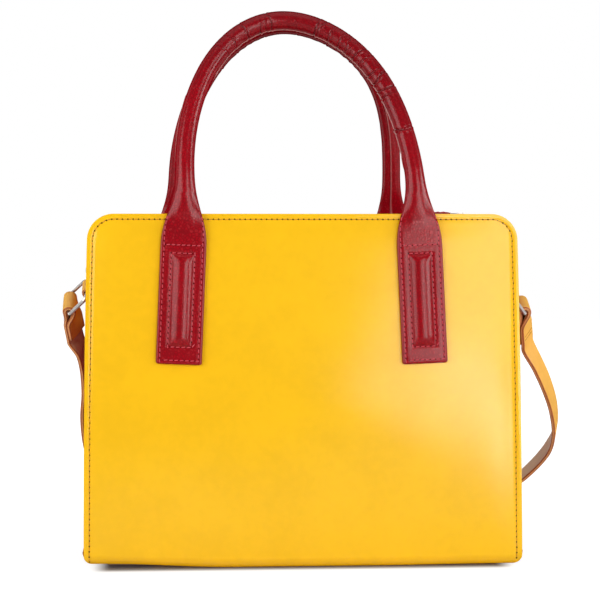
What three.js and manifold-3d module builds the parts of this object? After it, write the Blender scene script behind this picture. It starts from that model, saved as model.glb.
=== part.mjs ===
// Structured leather satchel: a yellow wrap body with burgundy gussets, two rolled handles,
// a zipped top, a ring on each side and a shoulder strap that lies behind the bag.
// Millimetres. X points right as seen from the front, Y to the back, Z up.
// The origin is the middle of the base, on the floor.
import * as THREE from 'three';
import { mergeVertices } from 'three/addons/utils/BufferGeometryUtils.js';
import Module from 'manifold-3d';

const wasm = await Module();
wasm.setup();

// Clearance between pieces that touch on the real bag
const gap = 0.3;

// Body
const baseWidth = 330;
const topWidth = 322;
const bodyHeight = 266;
const baseDepth = 130;
const panelLean = 12; // how far each panel leans in at its top edge
const foldRadius = 9;
const upperCornerRadius = 20;
const lowerCornerRadius = 8;
const panelLeather = 2;
const topDepth = baseDepth - 2 * panelLean;

// Gussets
const gussetLeather = 1.6;
const edgeRecess = 2.5; // how far the gusset lies inside the panel edges
const gussetBulge = 4;
const flangeWidth = 10;
const footRadius = 8;
const footTurn = 10; // how far the gusset turns in over the base
const footFlare = 6;
const footFlareHeight = 45;

// Inner layers
const stiffenerBoard = 1.2;
const baseBoardThickness = 3;
const liningCloth = 0.8;
const liningTopDrop = 18; // from the panel's top edge to the top of the lining
const sideLiningDrop = 50;
const stiffenerLift = 14; // from the floor to the lower edge of the side boards

// Zip and the flaps that carry it
const flapLength = 232;
const stripLeather = 1.6;
const facingLeather = 1.6;
const facingDrop = 16;
const zipSlotWidth = 11;
const zipTapeWidth = 26;
const zipTapeThickness = 0.8;
const teethWidth = 6;
const teethProud = 0.6; // height of the teeth above the leather
const zipSideDrop = 40; // how far the zip runs down each side
const zipTapeTail = 5;
const stopLength = 6;
const stopWidth = 8;
const stopThickness = 6;
const sliderPark = 12; // from the end of the flaps to the middle of the parked slider
const sliderLength = 11;
const sliderWidth = 9;
const sliderPlate = 1.4;
const lugLength = 4;
const lugThickness = 2;
const lugHeight = 2.4;
const linkBar = 1.2;
const linkLength = 9;
const linkWidth = 7;
const pullLength = 18;
const pullWidth = 9;
const pullThickness = 2.6;

// Handles
const handleSpan = 174;
const gripRadius = 7.2;
const coreRadius = 4.6;
const gripRise = 137.5; // from the neck to the middle of the arch, along its plane
const gripTilt = THREE.MathUtils.degToRad(17);
const neckRise = 18; // from the panel's top edge to the neck
const frontGripSway = -11.5;
const backGripSway = -1.5;
const frontGripFullness = 3; // of the arch's right shoulder
const backGripFullness = 8.5;
const frontHandleShift = -1.5;
const backHandleShift = -9;
const tabWidth = 34.5;
const tabLength = 113;
const tabLeather = 3;
const tabNeckWidth = 17;
const tabShoulderDrop = 17; // from the panel's top edge down to the full width of the tab
const tabCorner = 2;
const tabSplay = THREE.MathUtils.degToRad(2.4);
const ridgeWidth = 15.5;
const ridgeLength = 68;
const ridgeHeight = 2.4;
const ridgeRound = 1.2;
const ridgeDrop = 31; // from the panel's top edge to the top of the ridge
const ridgeCover = 1.2; // leather left over the pad

// Rings, chapes and strap
const ringDrop = 10.7; // from the zip stop down to the middle of the ring's inner bar
const wireRadius = 1.5;
const wireBevel = 0.6;
const ringInnerWidth = 21;
const ringReach = 22; // between the middles of the ring's two bars
const ringCorner = 4;
const leftRingTilt = THREE.MathUtils.degToRad(40);
const rightRingTilt = THREE.MathUtils.degToRad(28);
const leftRingSwing = THREE.MathUtils.degToRad(40);
const rightRingSwing = THREE.MathUtils.degToRad(36);
const loopClearance = 0.6; // between a ring bar and the leather round it
const chapeWidth = 18;
const chapeLength = 40;
const chapeLeather = 1.8;
const strapWidth = 20;
const strapThickness = 3;
const strapDoubled = 30; // length of the folded and sewn end
const strapTaper = 16;
const strapEye = 8;
const strapLead = 6; // straight length of strap beyond the sewn end
const leftStrapSwing = THREE.MathUtils.degToRad(-6);
const rightStrapSwing = THREE.MathUtils.degToRad(9);
const ringHeight = bodyHeight - zipSideDrop - gap - stopLength - ringDrop;

// The strap's route behind the bag: each row is a point of the middle line and the direction
// across the strap there. Each run starts at its sewn end and they meet behind the bag.
const leftRoute = [
  [[-173, 39, 158], [0.2, 0.82, 0.52]],
  [[-171.2, 45, 145], [0.12, 0.86, 0.48]],
  [[-171.2, 53, 126], [0.06, 0.9, 0.42]],
  [[-173, 62, 105], [0.04, 0.9, 0.42]],
  [[-170.5, 75, 78], [0.06, 0.86, 0.5]],
  [[-160.5, 92, 45], [-0.05, 0.9, 0.4]],
  [[-139, 110, 16], [-0.3, 0.93, 0.15]],
  [[-112, 126, 4.5], [-0.4, 0.9, 0.02]],
  [[-85, 141, 1.8], [-0.45, 0.9, 0]],
  [[-52, 160, 1.8], [-0.25, 0.97, 0]],
  [[-20, 168, 1.8], [0, 1, 0]],
  [[-gap / 2, 168, 1.8], [0, 1, 0]],
];
const rightRoute = [
  [[194, 27, 146], [0.25, 0.85, 0.42]],
  [[203, 35, 129], [0.3, 0.86, 0.38]],
  [[210.5, 44, 110], [0.27, 0.87, 0.38]],
  [[214.5, 57, 89], [0.2, 0.86, 0.45]],
  [[212, 69, 74], [0.12, 0.86, 0.5]],
  [[196, 89, 49.5], [0.2, 0.88, 0.38]],
  [[166, 110, 23], [0.35, 0.92, 0.08]],
  [[138, 127, 9], [0.45, 0.89, 0]],
  [[112, 139, 3.2], [0.45, 0.89, 0]],
  [[85, 150, 1.8], [0.4, 0.9, 0]],
  [[52, 162, 1.8], [0.2, 0.98, 0]],
  [[20, 168, 1.8], [0, 1, 0]],
  [[gap / 2, 168, 1.8], [0, 1, 0]],
];

// Finishes
const yellowLeather = { color: 0xf6b62a, roughness: 0.42, metalness: 0 };
const burgundyLeather = { color: 0x7d1424, roughness: 0.48, metalness: 0 };
const strapLeather = { color: 0xf0a030, roughness: 0.45, metalness: 0 };
const liningFabric = { color: 0xb79a72, roughness: 0.9, metalness: 0 };
const fibreBoard = { color: 0x8a7a63, roughness: 0.85, metalness: 0 };
const paddingFelt = { color: 0xcfc4ae, roughness: 0.95, metalness: 0 };
const zipFabric = { color: 0x3a0d14, roughness: 0.85, metalness: 0 };
const nickel = { color: 0xc9c9cc, roughness: 0.25, metalness: 1 };

const satchel = new THREE.Group();

// Adds one named piece to the satchel.
function place(name, solid, finish) {
  const mesh = new THREE.Mesh(geometryOf(solid), new THREE.MeshStandardMaterial(finish));
  mesh.name = name;
  satchel.add(mesh);
}

// Shapes of the body that other pieces follow

// Half the width of the panels at height z.
function halfWidth(z) {
  const straight = bodyHeight - upperCornerRadius;
  const share = THREE.MathUtils.clamp(z / straight, 0, 1);
  return THREE.MathUtils.lerp(baseWidth, topWidth, share) / 2;
}

// Half the depth over the outside of the panels at height z.
function halfDepth(z) {
  return THREE.MathUtils.lerp(baseDepth, topDepth, z / bodyHeight) / 2;
}

// Swell of the gusset's middle at height z.
function swell(z) {
  const share = (z - panelLeather) / (bodyHeight - upperCornerRadius - panelLeather);
  return gussetBulge * Math.max(Math.sin(Math.PI * THREE.MathUtils.clamp(share, 0, 1)), 0);
}

// Outer face of the gusset beside the panels at height z.
function gussetEdge(z) {
  const flare = Math.max(1 - z / footFlareHeight, 0);
  return halfWidth(z) - edgeRecess + footFlare * flare * flare;
}

// The gusset's foot: the level it rests on inside the wrap, and the middle of its bend.
const footLevel = panelLeather + gap;
const footCentre = gussetEdge(footLevel + footRadius) - footRadius;

// Half the depth between the outer faces of the gusset's flanges at height z.
function flangeHalf(z) {
  return halfDepth(z) - panelLeather - gap;
}

// Solids: joined, cut and read back

function signedVolume(positions, triangles) {
  const corner = [new THREE.Vector3(), new THREE.Vector3(), new THREE.Vector3()];
  let sum = 0;
  for (let i = 0; i < triangles.length; i += 3) {
    corner.forEach((point, k) => point.fromArray(positions, 3 * triangles[i + k]));
    sum += corner[0].dot(corner[1].clone().cross(corner[2]));
  }
  return sum / 6;
}

// Turns a closed geometry into a solid with its faces pointing out.
function solidOf(geometry, matrix = new THREE.Matrix4()) {
  const bare = geometry.clone().applyMatrix4(matrix);
  bare.deleteAttribute('normal');
  bare.deleteAttribute('uv');
  const merged = mergeVertices(bare);
  const positions = merged.attributes.position.array;
  const triangles = Array.from(merged.index.array);
  if (signedVolume(positions, triangles) < 0) {
    triangles.reverse();
  }
  return new wasm.Manifold(new wasm.Mesh({
    numProp: 3,
    vertProperties: Float32Array.from(positions),
    triVerts: Uint32Array.from(triangles),
  }));
}

function geometryOf(solid) {
  const mesh = solid.getMesh();
  const geometry = new THREE.BufferGeometry();
  geometry.setAttribute('position', new THREE.BufferAttribute(mesh.vertProperties, 3));
  geometry.setIndex(new THREE.BufferAttribute(mesh.triVerts, 1));
  geometry.computeVertexNormals();
  return geometry;
}

function block(x0, x1, y0, y1, z0, z1) {
  const geometry = new THREE.BoxGeometry(x1 - x0, y1 - y0, z1 - z0);
  geometry.translate((x0 + x1) / 2, (y0 + y1) / 2, (z0 + z1) / 2);
  return solidOf(geometry);
}

const axis = {
  x: new THREE.Vector3(1, 0, 0),
  y: new THREE.Vector3(0, 1, 0),
  z: new THREE.Vector3(0, 0, 1),
};

// Extrudes a shape drawn in Y and Z along X.
function extrudeAcross(shape, x0, x1, curveSegments = 8) {
  const settings = { depth: x1 - x0, bevelEnabled: false, curveSegments };
  const turn = new THREE.Matrix4().makeBasis(axis.y, axis.z, axis.x).setPosition(x0, 0, 0);
  return new THREE.ExtrudeGeometry(shape, settings).applyMatrix4(turn);
}

// Extrudes a shape drawn in X and Z along Y.
function extrudeDeep(shape, y0, y1, curveSegments = 8) {
  const settings = { depth: y1 - y0, bevelEnabled: false, curveSegments };
  const back = axis.y.clone().negate();
  const turn = new THREE.Matrix4().makeBasis(axis.x, axis.z, back).setPosition(0, y1, 0);
  return new THREE.ExtrudeGeometry(shape, settings).applyMatrix4(turn);
}

// A closed sheet between two grids of points, with rows along it and columns across it.
function sheet(outer, inner) {
  const rows = outer.length;
  const columns = outer[0].length;
  const points = [...outer.flat(), ...inner.flat()];
  const at = (layer, row, column) => (layer * rows + row) * columns + column;
  const triangles = [];
  const quad = (a, b, c, d) => triangles.push(a, b, c, a, c, d);
  for (let r = 0; r < rows - 1; r += 1) {
    for (let c = 0; c < columns - 1; c += 1) {
      quad(at(0, r, c), at(0, r + 1, c), at(0, r + 1, c + 1), at(0, r, c + 1));
      quad(at(1, r, c), at(1, r, c + 1), at(1, r + 1, c + 1), at(1, r + 1, c));
    }
    quad(at(0, r, 0), at(1, r, 0), at(1, r + 1, 0), at(0, r + 1, 0));
    const last = columns - 1;
    quad(at(0, r, last), at(0, r + 1, last), at(1, r + 1, last), at(1, r, last));
  }
  for (let c = 0; c < columns - 1; c += 1) {
    quad(at(0, 0, c), at(0, 0, c + 1), at(1, 0, c + 1), at(1, 0, c));
    const last = rows - 1;
    quad(at(0, last, c), at(1, last, c), at(1, last, c + 1), at(0, last, c + 1));
  }
  const geometry = new THREE.BufferGeometry();
  const positions = points.flatMap((point) => point.toArray());
  geometry.setAttribute('position', new THREE.Float32BufferAttribute(positions, 3));
  geometry.setIndex(triangles);
  return solidOf(geometry);
}

// Body wrap and the layers inside it

const foldSteps = 6;

// The U of the wrap seen from the side, inset from its outer faces: back, base, front.
function wrapLine(sideInset, baseInset, top) {
  const slope = Math.atan2(panelLean, bodyHeight);
  const inset = Math.max(sideInset, baseInset);
  const radius = Math.max(foldRadius - inset, gap);
  const sideAt = (z) => halfDepth(z) - sideInset / Math.cos(slope);
  const centreZ = baseInset + radius;
  const centreY = sideAt(centreZ + radius * Math.sin(slope)) - radius * Math.cos(slope);
  const right = [new THREE.Vector2(sideAt(top), top)];
  for (let i = 0; i <= foldSteps; i += 1) {
    const angle = THREE.MathUtils.lerp(slope, -Math.PI / 2, i / foldSteps);
    const across = centreY + radius * Math.cos(angle);
    right.push(new THREE.Vector2(across, centreZ + radius * Math.sin(angle)));
  }
  const left = right.map((point) => new THREE.Vector2(-point.x, point.y)).reverse();
  return [...right, ...left];
}

// The outline of the panels seen from the front, inset by a margin, as a prism through the bag.
function outlinePrism(margin) {
  const top = bodyHeight - margin;
  const upper = Math.max(upperCornerRadius - margin, gap);
  const lower = lowerCornerRadius;
  const topHalf = topWidth / 2 - margin;
  const lowHalf = halfWidth(lower) - margin;
  const shape = new THREE.Shape();
  shape.moveTo(-lowHalf + lower, 0);
  shape.lineTo(lowHalf - lower, 0);
  shape.absarc(lowHalf - lower, lower, lower, -Math.PI / 2, 0, false);
  shape.absarc(topHalf - upper, top - upper, upper, 0, Math.PI / 2, false);
  shape.absarc(upper - topHalf, top - upper, upper, Math.PI / 2, Math.PI, false);
  shape.absarc(lower - lowHalf, lower, lower, Math.PI, 1.5 * Math.PI, false);
  return solidOf(extrudeDeep(shape, -baseDepth, baseDepth));
}

function wrapLayer(sideInset, baseInset, thickness, top, margin) {
  const outer = wrapLine(sideInset, baseInset, top);
  const inner = wrapLine(sideInset + thickness, baseInset + thickness, top).reverse();
  const layer = extrudeAcross(new THREE.Shape([...outer, ...inner]), -baseWidth, baseWidth);
  return solidOf(layer).intersect(outlinePrism(margin));
}

// Everything inside the wrap, at an inset from its outer faces.
function insidePrism(inset) {
  const line = wrapLine(inset, inset, bodyHeight);
  return solidOf(extrudeAcross(new THREE.Shape(line), -baseWidth, baseWidth));
}

// A flat layer behind the front panel (side -1) or the back panel (side 1).
function panelSlab(side, inset, thickness, low, high) {
  const corner = (depth, z) => new THREE.Vector2(side * (halfDepth(z) - depth), z);
  const far = inset + thickness;
  const shape = new THREE.Shape([
    corner(inset, low), corner(inset, high), corner(far, high), corner(far, low),
  ]);
  return extrudeAcross(shape, -baseWidth, baseWidth);
}

const behindPanel = panelLeather + gap;
const behindFlange = behindPanel + Math.max(gussetLeather, stiffenerBoard, facingLeather) + gap;
const liningMargin = edgeRecess + gussetLeather + gap + liningCloth + gap;
const onBoard = behindPanel + baseBoardThickness + gap;

function addBody() {
  place('body_wrap', wrapLayer(0, 0, panelLeather, bodyHeight, 0), yellowLeather);

  const boardMargin = edgeRecess + flangeWidth + gap;
  const boardTop = bodyHeight - Math.max(facingDrop, boardMargin) - gap;
  for (const [name, side] of [['front_stiffener', -1], ['back_stiffener', 1]]) {
    const slab = solidOf(panelSlab(side, behindPanel, stiffenerBoard, stiffenerLift, boardTop));
    place(name, slab.intersect(outlinePrism(boardMargin)), fibreBoard);
  }

  const boardHalf = footCentre - footTurn - gap;
  const foldEnd = wrapLine(behindPanel, behindPanel, bodyHeight).at(foldSteps + 1);
  const boardDepth = foldEnd.x - gap;
  const boardUp = behindPanel + baseBoardThickness;
  const board = block(-boardHalf, boardHalf, -boardDepth, boardDepth, behindPanel, boardUp);
  place('base_board', board, fibreBoard);

  const liningTop = bodyHeight - liningTopDrop;
  const lining = wrapLayer(behindFlange, onBoard, liningCloth, liningTop, liningMargin);
  place('lining_wrap', lining, liningFabric);
}

// Side pieces: gussets, side linings and the zip where it runs round the corner

// The middle line of a gusset from its foot up the side and over the top, with its outward normal.
function gussetPath(side) {
  const path = [];
  const add = (x, z, angle) => path.push({
    z,
    point: new THREE.Vector3(side * x, 0, z),
    normal: new THREE.Vector3(side * Math.cos(angle), 0, Math.sin(angle)),
  });
  const footSteps = 4;
  add(footCentre - footTurn, footLevel, -Math.PI / 2);
  for (let i = 0; i <= footSteps; i += 1) {
    const angle = THREE.MathUtils.lerp(-Math.PI / 2, 0, i / footSteps);
    const out = footCentre + footRadius * Math.cos(angle);
    add(out, footLevel + footRadius + footRadius * Math.sin(angle), angle);
  }
  const straightTop = bodyHeight - upperCornerRadius;
  const sideSteps = 10;
  for (let i = 1; i < sideSteps; i += 1) {
    const z = THREE.MathUtils.lerp(footLevel + footRadius, straightTop, i / sideSteps);
    add(gussetEdge(z), z, 0);
  }
  const cornerX = topWidth / 2 - upperCornerRadius;
  const cornerSteps = 6;
  for (let i = 0; i <= cornerSteps; i += 1) {
    const angle = THREE.MathUtils.lerp(0, Math.PI / 2, i / cornerSteps);
    const reach = upperCornerRadius - edgeRecess;
    add(cornerX + reach * Math.cos(angle), straightTop + reach * Math.sin(angle), angle);
  }
  add(flapLength / 2 + gap, bodyHeight - edgeRecess, Math.PI / 2);
  return path;
}

// A point of a gusset-like strip: y across it, rise along its normal from the gusset's outer face.
function onGusset(step, y, rise) {
  const across = flangeHalf(step.z);
  const bulge = swell(step.z) * (1 - (y / across) ** 2);
  const point = step.point.clone().addScaledVector(step.normal, rise + bulge);
  return point.setY(y);
}

function gussetSheet(path) {
  const webSteps = 6;
  const outer = [];
  const inner = [];
  for (const step of path) {
    const half = flangeHalf(step.z);
    const inside = half - gussetLeather;
    const shares = Array.from({ length: webSteps + 1 }, (_, i) => -1 + (2 * i) / webSteps);
    outer.push([
      onGusset(step, -half, -flangeWidth),
      ...shares.map((share) => onGusset(step, share * half, 0)),
      onGusset(step, half, -flangeWidth),
    ]);
    inner.push([
      onGusset(step, -half, -flangeWidth).setY(-inside),
      ...shares.map((share) => onGusset(step, share * half, -gussetLeather).setY(share * inside)),
      onGusset(step, half, -flangeWidth).setY(inside),
    ]);
  }
  return sheet(outer, inner);
}

// A flat strip that follows the gusset's path.
function pathStrip(path, halfAcross, lowRise, highRise) {
  const edge = (step, rise) => [onGusset(step, -halfAcross, rise), onGusset(step, halfAcross, rise)];
  return sheet(path.map((step) => edge(step, highRise)), path.map((step) => edge(step, lowRise)));
}

// The part of a gusset's path above height z, starting exactly there.
function pathAbove(path, side, z) {
  const start = {
    z,
    point: new THREE.Vector3(side * gussetEdge(z), 0, z),
    normal: new THREE.Vector3(side, 0, 0),
  };
  return [start, ...path.filter((step) => step.z > z + gap)];
}

function addSide(name, side) {
  const path = gussetPath(side);
  const slotFoot = bodyHeight - zipSideDrop;
  const slotHalf = zipSlotWidth / 2;
  const slot = block(-baseWidth, baseWidth, -slotHalf, slotHalf, slotFoot, 2 * bodyHeight);
  const web = gussetSheet(path).intersect(insidePrism(behindPanel)).subtract(slot);
  place(`${name}_gusset`, web, burgundyLeather);

  const liningOut = edgeRecess + gussetLeather + gap;
  const low = footLevel + footRadius;
  const high = bodyHeight - sideLiningDrop;
  const corner = (z, inset) => new THREE.Vector2(side * (halfWidth(z) - inset), z);
  const liningShape = new THREE.Shape([
    corner(low, liningOut),
    corner(high, liningOut),
    corner(high, liningOut + liningCloth),
    corner(low, liningOut + liningCloth),
  ]);
  const lining = solidOf(extrudeDeep(liningShape, -baseDepth, baseDepth));
  place(`${name}_lining`, lining.intersect(insidePrism(behindFlange)), liningFabric);

  const tapeTop = -gussetLeather - gap;
  const tape = pathAbove(path, side, slotFoot - zipTapeTail);
  const tapeStrip = pathStrip(tape, zipTapeWidth / 2, tapeTop - zipTapeThickness, tapeTop);
  place(`${name}_zip_end_tape`, tapeStrip, zipFabric);
  const teeth = pathAbove(path, side, slotFoot + gap);
  const teethStrip = pathStrip(teeth, teethWidth / 2, tapeTop + gap, teethProud);
  place(`${name}_zip_end_teeth`, teethStrip, nickel);

  const stopFace = gussetEdge(slotFoot) + swell(slotFoot - stopLength) + gap;
  const stopEnds = [side * stopFace, side * (stopFace + stopThickness)].sort((a, b) => a - b);
  const stopTop = slotFoot - gap;
  const stopHalf = stopWidth / 2;
  const stop = block(...stopEnds, -stopHalf, stopHalf, stopTop - stopLength, stopTop);
  place(`${name}_zip_stop`, stop, nickel);
}

// Zip flaps, slider and pull

const stripTop = bodyHeight - edgeRecess;
const tapeLevel = stripTop - stripLeather - gap;
const teethLevel = stripTop + teethProud;

function addFlap(name, side) {
  const facing = panelSlab(side, behindPanel, facingLeather, bodyHeight - facingDrop, stripTop);
  const flapSpan = block(-flapLength / 2, flapLength / 2, -baseDepth, baseDepth, 0, 2 * bodyHeight);
  place(`${name}_facing`, solidOf(facing).intersect(flapSpan), burgundyLeather);

  const middle = stripTop - stripLeather / 2;
  const hinge = halfDepth(middle) - behindPanel - facingLeather - gap - stripLeather / 2;
  const shape = new THREE.Shape();
  shape.moveTo(zipSlotWidth / 2, stripTop - stripLeather);
  shape.lineTo(hinge, stripTop - stripLeather);
  shape.absarc(hinge, middle, stripLeather / 2, -Math.PI / 2, Math.PI / 2, false);
  shape.lineTo(zipSlotWidth / 2, stripTop);
  const mirror = new THREE.Matrix4().makeScale(1, side, 1);
  const strip = extrudeAcross(shape, -flapLength / 2, flapLength / 2, 6);
  place(`${name}_zip_strip`, solidOf(strip, mirror), burgundyLeather);

  const near = side * gap / 2;
  const spanOf = (reach) => [near, side * reach].sort((a, b) => a - b);
  const ends = [-flapLength / 2, flapLength / 2];
  const tapeSpan = spanOf(zipTapeWidth / 2);
  const tape = block(...ends, ...tapeSpan, tapeLevel - zipTapeThickness, tapeLevel);
  place(`${name}_zip_tape`, tape, zipFabric);
  const teeth = block(...ends, ...spanOf(teethWidth / 2), tapeLevel + gap, teethLevel);
  place(`${name}_zip_teeth`, teeth, nickel);
}

function addSlider() {
  const parked = flapLength / 2 + sliderPark;
  const plateLow = teethLevel + gap;
  const plateHigh = plateLow + sliderPlate;
  const halfLength = sliderLength / 2;
  const ends = [parked - halfLength, parked + halfLength];
  const inside = teethWidth / 2 + gap;
  const half = sliderWidth / 2;
  const pinLevel = plateHigh + lugHeight / 2;
  const bore = (linkBar / 2 + gap) * Math.SQRT2; // the link's bar is square and turns in it
  const lugShape = new THREE.Shape();
  lugShape.moveTo(parked - lugLength / 2, plateLow);
  lugShape.lineTo(parked + lugLength / 2, plateLow);
  lugShape.absarc(parked, pinLevel, lugLength / 2, 0, Math.PI, false);
  const hole = new THREE.Path();
  hole.absarc(parked, pinLevel, bore, 0, 2 * Math.PI, true);
  lugShape.holes.push(hole);
  const lug = solidOf(extrudeDeep(lugShape, -lugThickness / 2, lugThickness / 2, 10));
  const slider = block(...ends, -half, half, plateLow, plateHigh)
    .add(block(...ends, inside, half, tapeLevel + gap, plateHigh))
    .add(block(...ends, -half, -inside, tapeLevel + gap, plateHigh))
    .add(lug);
  place('zip_slider', slider, nickel);

  const barHalf = linkBar / 2;
  const farBar = parked - linkLength;
  const low = pinLevel - barHalf;
  const high = pinLevel + barHalf;
  const link = block(farBar - barHalf, parked + barHalf, -linkWidth / 2, linkWidth / 2, low, high)
    .subtract(block(farBar + barHalf, parked - barHalf, barHalf * 2 - linkWidth / 2,
      linkWidth / 2 - barHalf * 2, 0, 2 * bodyHeight));
  place('zip_pull_link', link, nickel);

  const neckHalf = linkWidth / 2 - linkBar - gap;
  const eyeWall = (pullThickness - linkBar) / 2 - gap;
  const neckEnd = farBar + barHalf + gap + eyeWall;
  const shoulder = farBar - barHalf - gap;
  const pullLow = pinLevel - pullThickness / 2;
  const pullHigh = pinLevel + pullThickness / 2;
  const pull = block(shoulder - pullLength, shoulder, -pullWidth / 2, pullWidth / 2, pullLow, pullHigh)
    .add(block(shoulder - gap, neckEnd, -neckHalf, neckHalf, pullLow, pullHigh))
    .subtract(block(shoulder, farBar + barHalf + gap, -linkWidth, linkWidth, low - gap, high + gap));
  place('zip_pull_tab', pull, burgundyLeather);
}

// Handles: rolled grips that turn at their necks, and tabs sewn to the panels

// Frame of a handle: X along the panel, Y out of it and Z up it, from the panel's top edge.
function panelFrame(side) {
  const slope = Math.atan2(panelLean, bodyHeight);
  const out = new THREE.Vector3(0, side * Math.cos(slope), Math.sin(slope));
  const up = new THREE.Vector3(0, -side * Math.sin(slope), Math.cos(slope));
  return new THREE.Matrix4().makeBasis(axis.x, out, up).setPosition(0, side * topDepth / 2, bodyHeight);
}

const tabMiddle = gap + tabLeather / 2;

function neckPoint(side, x) {
  return new THREE.Vector3(x, tabMiddle, neckRise).applyMatrix4(panelFrame(side));
}

// The middle line of a grip: a half ellipse in a plane tilted over the bag, fuller at its right
// shoulder, with straight tails.
function gripCurve(side, shift, sway, fullness, tail) {
  const steps = 26;
  const neck = neckPoint(side, 0);
  const points = [];
  const add = (x, v) => points.push(new THREE.Vector3(
    shift + x,
    neck.y - side * v * Math.sin(gripTilt),
    neck.z + v * Math.cos(gripTilt),
  ));
  if (tail > 0) {
    add(-handleSpan / 2, -tail);
  }
  for (let i = 0; i <= steps; i += 1) {
    const angle = Math.PI * (1 - i / steps);
    const height = Math.sin(angle);
    const shoulder = angle < Math.PI / 2 ? fullness * Math.sin(2 * angle) ** 2 : 0;
    add((handleSpan / 2) * Math.cos(angle) + sway * height + shoulder, gripRise * height);
  }
  if (tail > 0) {
    add(handleSpan / 2, -tail);
  }
  return new THREE.CatmullRomCurve3(points);
}

// A round solid along a curve; its section has twice as many sides as halfSides.
function tube(curve, radius, halfSides, steps) {
  const section = new THREE.Shape();
  section.absarc(0, 0, radius, 0, 2 * Math.PI, false);
  const settings = { steps, extrudePath: curve, curveSegments: halfSides };
  return solidOf(new THREE.ExtrudeGeometry(section, settings));
}

function addGrip(name, side, shift, sway, fullness) {
  const steps = 34;
  const coverHalfSides = 6;
  const coreHalfSides = 4;
  const tail = gripRadius + coreRadius;
  const ball = (x) => {
    const neck = neckPoint(side, x);
    const geometry = new THREE.SphereGeometry(gripRadius, 2 * coverHalfSides, coverHalfSides);
    return solidOf(geometry.translate(neck.x, neck.y, neck.z));
  };
  const outside = tube(gripCurve(side, shift, sway, fullness, 0), gripRadius, coverHalfSides, steps)
    .add(ball(shift - handleSpan / 2))
    .add(ball(shift + handleSpan / 2));
  const longCurve = gripCurve(side, shift, sway, fullness, tail);
  const bore = tube(longCurve, coreRadius + gap, coreHalfSides, steps);
  place(`${name}_handle_cover`, outside.subtract(bore), burgundyLeather);
  const core = tube(longCurve, coreRadius, coreHalfSides, steps).intersect(outside);
  place(`${name}_handle_core`, core, paddingFelt);
}

// The outline of a tab on its panel, with its neck at the top.
function tabShape() {
  const half = tabWidth / 2;
  const neckHalf = tabNeckWidth / 2;
  const top = neckRise - gripRadius - gap;
  const bend = (top + tabShoulderDrop) / 2;
  const shape = new THREE.Shape();
  shape.moveTo(-half + tabCorner, -tabLength);
  shape.lineTo(half - tabCorner, -tabLength);
  shape.absarc(half - tabCorner, tabCorner - tabLength, tabCorner, -Math.PI / 2, 0, false);
  shape.lineTo(half, -tabShoulderDrop);
  shape.bezierCurveTo(half, bend - tabShoulderDrop, neckHalf, top - bend, neckHalf, top);
  shape.lineTo(-neckHalf, top);
  shape.bezierCurveTo(-neckHalf, top - bend, -half, bend - tabShoulderDrop, -half, -tabShoulderDrop);
  shape.lineTo(-half, tabCorner - tabLength);
  shape.absarc(tabCorner - half, tabCorner - tabLength, tabCorner, Math.PI, 1.5 * Math.PI, false);
  return shape;
}

// The raised ridge of a tab, from the tab's inner face, with rounded upper edges.
function ridgeSolid(width, length, height) {
  const round = ridgeRound;
  const half = width / 2 - round;
  const shape = new THREE.Shape();
  shape.moveTo(-half, -ridgeDrop - length + round);
  shape.lineTo(half, -ridgeDrop - length + round);
  shape.lineTo(half, -ridgeDrop - round);
  shape.lineTo(-half, -ridgeDrop - round);
  shape.closePath();
  const settings = { depth: height - 2 * round, bevelThickness: round, bevelSize: round, bevelSegments: 2 };
  const back = axis.y.clone().negate();
  const turn = new THREE.Matrix4().makeBasis(axis.x, axis.z, back).setPosition(0, height - round, 0);
  return solidOf(new THREE.ExtrudeGeometry(shape, settings), turn);
}

function addTab(name, side, x, splay) {
  const neck = new THREE.Matrix4().makeTranslation(0, gap, neckRise);
  const turn = new THREE.Matrix4().makeRotationY(splay);
  const unshift = new THREE.Matrix4().makeTranslation(0, 0, -neckRise);
  const onPanel = panelFrame(side).multiply(new THREE.Matrix4().makeTranslation(x, 0, 0));
  const frame = onPanel.multiply(neck).multiply(turn).multiply(unshift);
  const moved = (solid) => solidOf(geometryOf(solid), frame);

  const plate = solidOf(extrudeDeep(tabShape(), 0, tabLeather));
  const fillerDepth = tabLeather + ridgeHeight - ridgeCover;
  const wall = 2 * ridgeCover;
  const pocket = ridgeSolid(ridgeWidth - wall, ridgeLength - wall, fillerDepth);
  const pocketMouth = block(
    (wall - ridgeWidth) / 2, (ridgeWidth - wall) / 2, -gap, fillerDepth / 2,
    wall / 2 - ridgeDrop - ridgeLength, -ridgeDrop - wall / 2,
  );
  const tab = plate.add(ridgeSolid(ridgeWidth, ridgeLength, tabLeather + ridgeHeight))
    .subtract(pocket.add(pocketMouth));
  place(`${name}_tab`, moved(tab), burgundyLeather);

  const slack = wall + 2 * gap;
  const filler = ridgeSolid(ridgeWidth - slack, ridgeLength - slack, fillerDepth - gap);
  place(`${name}_tab_filler`, moved(filler), paddingFelt);
}

function addHandle(name, side, shift, sway, fullness) {
  addGrip(name, side, shift, sway, fullness);
  addTab(`${name}_left`, side, shift - handleSpan / 2, tabSplay);
  addTab(`${name}_right`, side, shift + handleSpan / 2, -tabSplay);
}

// Rings, their chapes and the strap

const loopBore = wireRadius + loopClearance;
const chapeLoop = loopBore + chapeLeather;

const gussetFace = (z) => gussetEdge(z) + swell(z);

// Height of the chape's lower corner beside the ring's inner bar, where the gusset stands out most.
const chapeNearZ = (tilt) => ringHeight - (chapeWidth / 2) * Math.sin(tilt);

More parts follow.
